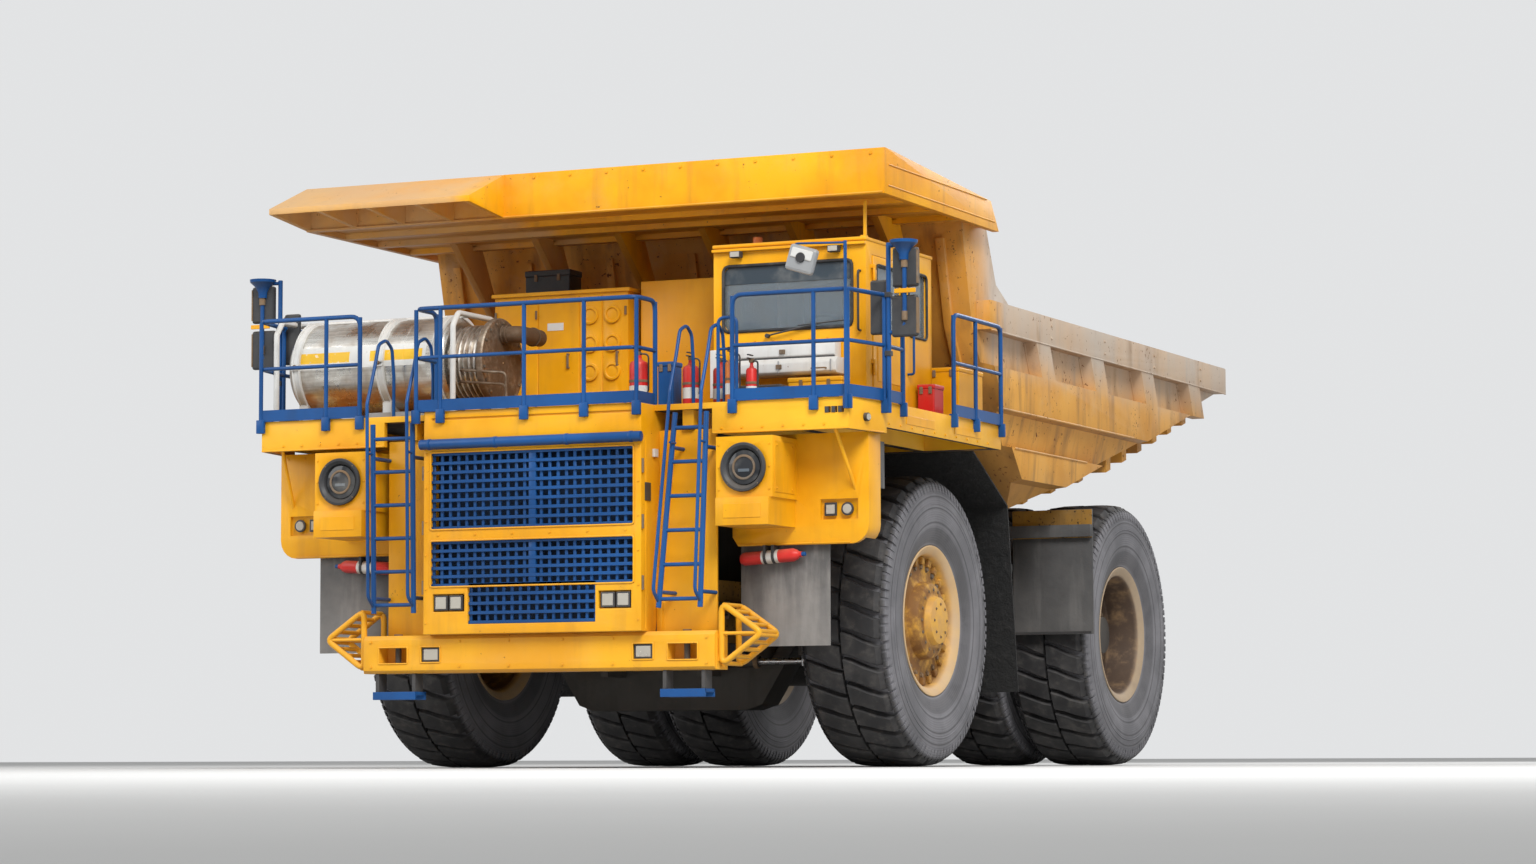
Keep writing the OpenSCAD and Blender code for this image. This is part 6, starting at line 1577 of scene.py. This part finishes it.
def makeCabInside():
    x = seat["x"]
    # seat base and bellows
    pieces = [box((x - 0.16, -1.05, 3.652), (x + 0.16, -0.70, 3.72), "darkPaint", 0.01),
              box((x - 0.20, -1.08, 3.875), (x + 0.20, -0.68, 3.925), "darkPaint", 0.01),
              bar((x, -0.88, 3.70), (x, -0.88, 3.88), 0.10, "blackRubber", 24),
              box((x - 0.21, -0.62, 4.02), (x + 0.21, -0.575, 4.10), "darkPaint", 0.015)]
    for k in (0, 1, 1.5, 2):
        shrink, z = 0.02 * k, 3.71 + 0.027 * k
        pieces.append(box((x - 0.15 + shrink, -1.03 + shrink, z),
                          (x + 0.15 - shrink, -0.72 - shrink, z + 0.03), "blackRubber", 0.008))
    for side in (1, -1):  # armrests
        arm = x + side * 0.27
        pieces += [box((arm - 0.03, -0.98, 4.20), (arm + 0.03, -0.64, 4.245), "blackRubber", 0.015),
                   bar((x + side * 0.25, -0.66, 4.0), (x + side * 0.26, -0.66, 4.21), 0.014, "darkPaint", 12)]
    outline = [(-1.83, 3.65), (-1.62, 3.65), (-1.53, 4.27), (-1.60, 4.32), (-1.83, 4.41)]
    dash = drawLine([at(1.49, y, z) for y, z in outline], closed=True)
    modify(dash, "SOLIDIFY", thickness=1.38, offset=1)
    low = min(vertex.co.x for vertex in dash.data.vertices)
    dash.data.transform(Matrix.Translation((1.49 - low, 0, 0)))
    pieces += [paint(smooth(soften(dash, 0.02, 3)), "darkPaint"),
               box((x - 0.20, -1.585, 4.31), (x + 0.20, -1.50, 4.345), "blackRubber", 0.012),
               bar((x, -1.59, 4.21), (x, -1.39, 4.43), 0.030, "darkPaint", 18)]
    hub = Matrix.Translation(at(x, -1.39, 4.43)) @ Matrix.Rotation(math.radians(-42), 4, "X")
    grip = [(0.017 * math.sin(a), 0.210 + 0.017 * math.cos(a)) for a in turns(10) + [math.tau]]
    wheel = lathe(grip, (0, 0), 40)
    wheel.data.transform(hub @ Matrix.Rotation(math.radians(90), 4, "Y"))
    spokes = [rod(hub @ Vector((0, 0, -0.02)), hub @ Vector((0, 0, 0.03)), 0.045, 24, 0.008)]
    for angle in map(math.radians, (90, 210, 330)):
        end = Vector((0.205 * math.cos(angle), 0.205 * math.sin(angle), 0))
        spokes.append(rod(hub.translation, hub @ end, 0.012, 10))
    return join(pieces + [paint(obj, "blackRubber") for obj in (wheel, *spokes)], "cabInside")


shade = Shade("seatCloth", Sheen_Weight=0.3)
weave = (shade.noise(420, 1, (1, 0.4, 1)) + shade.noise(420, 1, (0.4, 1, 1))) * 0.5
dirt = shade.noise(4, 5).rise(0.4, 0.8) * 0.6
shade.feed("Base Color", shade.mix(dirt + weave * 0.2, (0.022, 0.023, 0.026), (0.095, 0.085, 0.075)))
shade.feed("Roughness", weave * 0.2 + 0.72)
shade.bump(weave, 0.4, 0.0008)
materials["seatCloth"] = shade.material
finishPiece(makeCabInside(), "cab-inside", "chassis", "cab_trim", "cab_interior")
cushions = finishPiece(makeSeat(), "seat-cushions", "chassis", "cab_trim")
finishPiece(rework("bulkhead", 0.006, "yellowPaint"), "bulkhead-plates", "chassis", "yellow_paint",
            "bulkhead")
print("seat, cab inside and bulkhead made")


# The CAD nodes that stay take their finish here
finishes = {"power_unit": "greasySteel", "radiator": "coreBlue", "door_glass": "cabGlass",
            "tie_rod": "greasySteel"}
for side, word in sides:
    finishes.update({node + word: "chromedRod" for node in ("steer_rod_", "hoist_stage_", "hoist_rod_")})
for node, finish in finishes.items():
    paint(frame["nodes"][node], finish)
print("CAD nodes finished")


# Floor, backdrop, light and camera
stage = {"floor": (0.66, 0.66, 0.65), "dusty": (0.61, 0.61, 0.60), "sky": (0.93, 0.94, 0.95), "size": 1200,
         "light": 0.50, "shown": 0.82}
camera = {"place": (18.0026, -37.4504 + frontY, 0.0783), "yaw": -0.424868, "pitch": 0.0842354,
          "roll": -0.0030379, "pixels": 3879.2, "width": 1536, "sensor": 36, "far": 2000}
lamps = {"key": {"place": (16, -22, 22), "energy": 8200, "size": 12},
         "fill": {"place": (-18, -18, 14), "energy": 2200, "size": 16},
         "back": {"place": (6, 24, 18), "energy": 3000, "size": 14}}


def makeFloor():
    bpy.ops.object.select_all(action="DESELECT")
    bpy.ops.mesh.primitive_plane_add(size=stage["size"], location=(0, 0, -0.002))
    floor = settle(bpy.context.object)
    floor.name = "floor"
    shade = Shade("floorPaint", Roughness=0.9)
    shade.feed("Base Color", shade.mix(shade.noise(0.4, 3), stage["floor"], stage["dusty"]))
    floor.data.materials.append(shade.material)


def makeSky():  # brighter where it is looked at than where it lights
    world = bpy.data.worlds.new("overcast")
    bpy.context.scene.world = world
    world.use_nodes = True
    tree = world.node_tree
    background, rays = tree.nodes["Background"], tree.nodes.new("ShaderNodeLightPath")
    background.inputs[0].default_value = (*stage["sky"], 1)
    looked = rays.outputs["Is Camera Ray"]
    for ray in ("Is Glossy Ray", "Is Transmission Ray"):
        either = tree.nodes.new("ShaderNodeMath")
        either.use_clamp = True
        tree.links.new(looked, either.inputs[0])
        tree.links.new(rays.outputs[ray], either.inputs[1])
        looked = either.outputs[0]
    strength = tree.nodes.new("ShaderNodeMapRange")
    strength.inputs[3].default_value, strength.inputs[4].default_value = stage["light"], stage["shown"]
    tree.links.new(looked, strength.inputs[0])
    tree.links.new(strength.outputs[0], background.inputs[1])


def makeLamp(name, look):
    bpy.ops.object.light_add(type="AREA", location=look["place"])
    lamp = bpy.context.object
    lamp.name = name
    lamp.data.energy = look["energy"]
    lamp.data.size = look["size"]
    lamp.rotation_euler = (Vector((0, 0, 2)) - lamp.location).to_track_quat("-Z", "Y").to_euler()


def makeCamera():
    bpy.ops.object.camera_add()
    cam = bpy.context.object
    yaw, pitch, roll = camera["yaw"], camera["pitch"], camera["roll"]
    ahead = Vector((math.sin(yaw) * math.cos(pitch), math.cos(yaw) * math.cos(pitch), math.sin(pitch)))
    level = ahead.cross(Vector((0, 0, 1))).normalized()
    upright = level.cross(ahead)
    right = level * math.cos(roll) + upright * math.sin(roll)
    up = upright * math.cos(roll) - level * math.sin(roll)
    cam.matrix_world = Matrix.Translation(camera["place"]) @ Matrix((right, up, -ahead)).transposed().to_4x4()
    cam.data.sensor_width = camera["sensor"]
    cam.data.lens = camera["pixels"] / camera["width"] * camera["sensor"]
    cam.data.clip_end = camera["far"]
    bpy.context.scene.camera = cam


makeFloor()
makeSky()
for name, look in lamps.items():
    makeLamp(name, look)
makeCamera()
bpy.context.scene.view_settings.view_transform = "Standard"
print("stage, lamps and camera made")

bpy.context.view_layer.update()
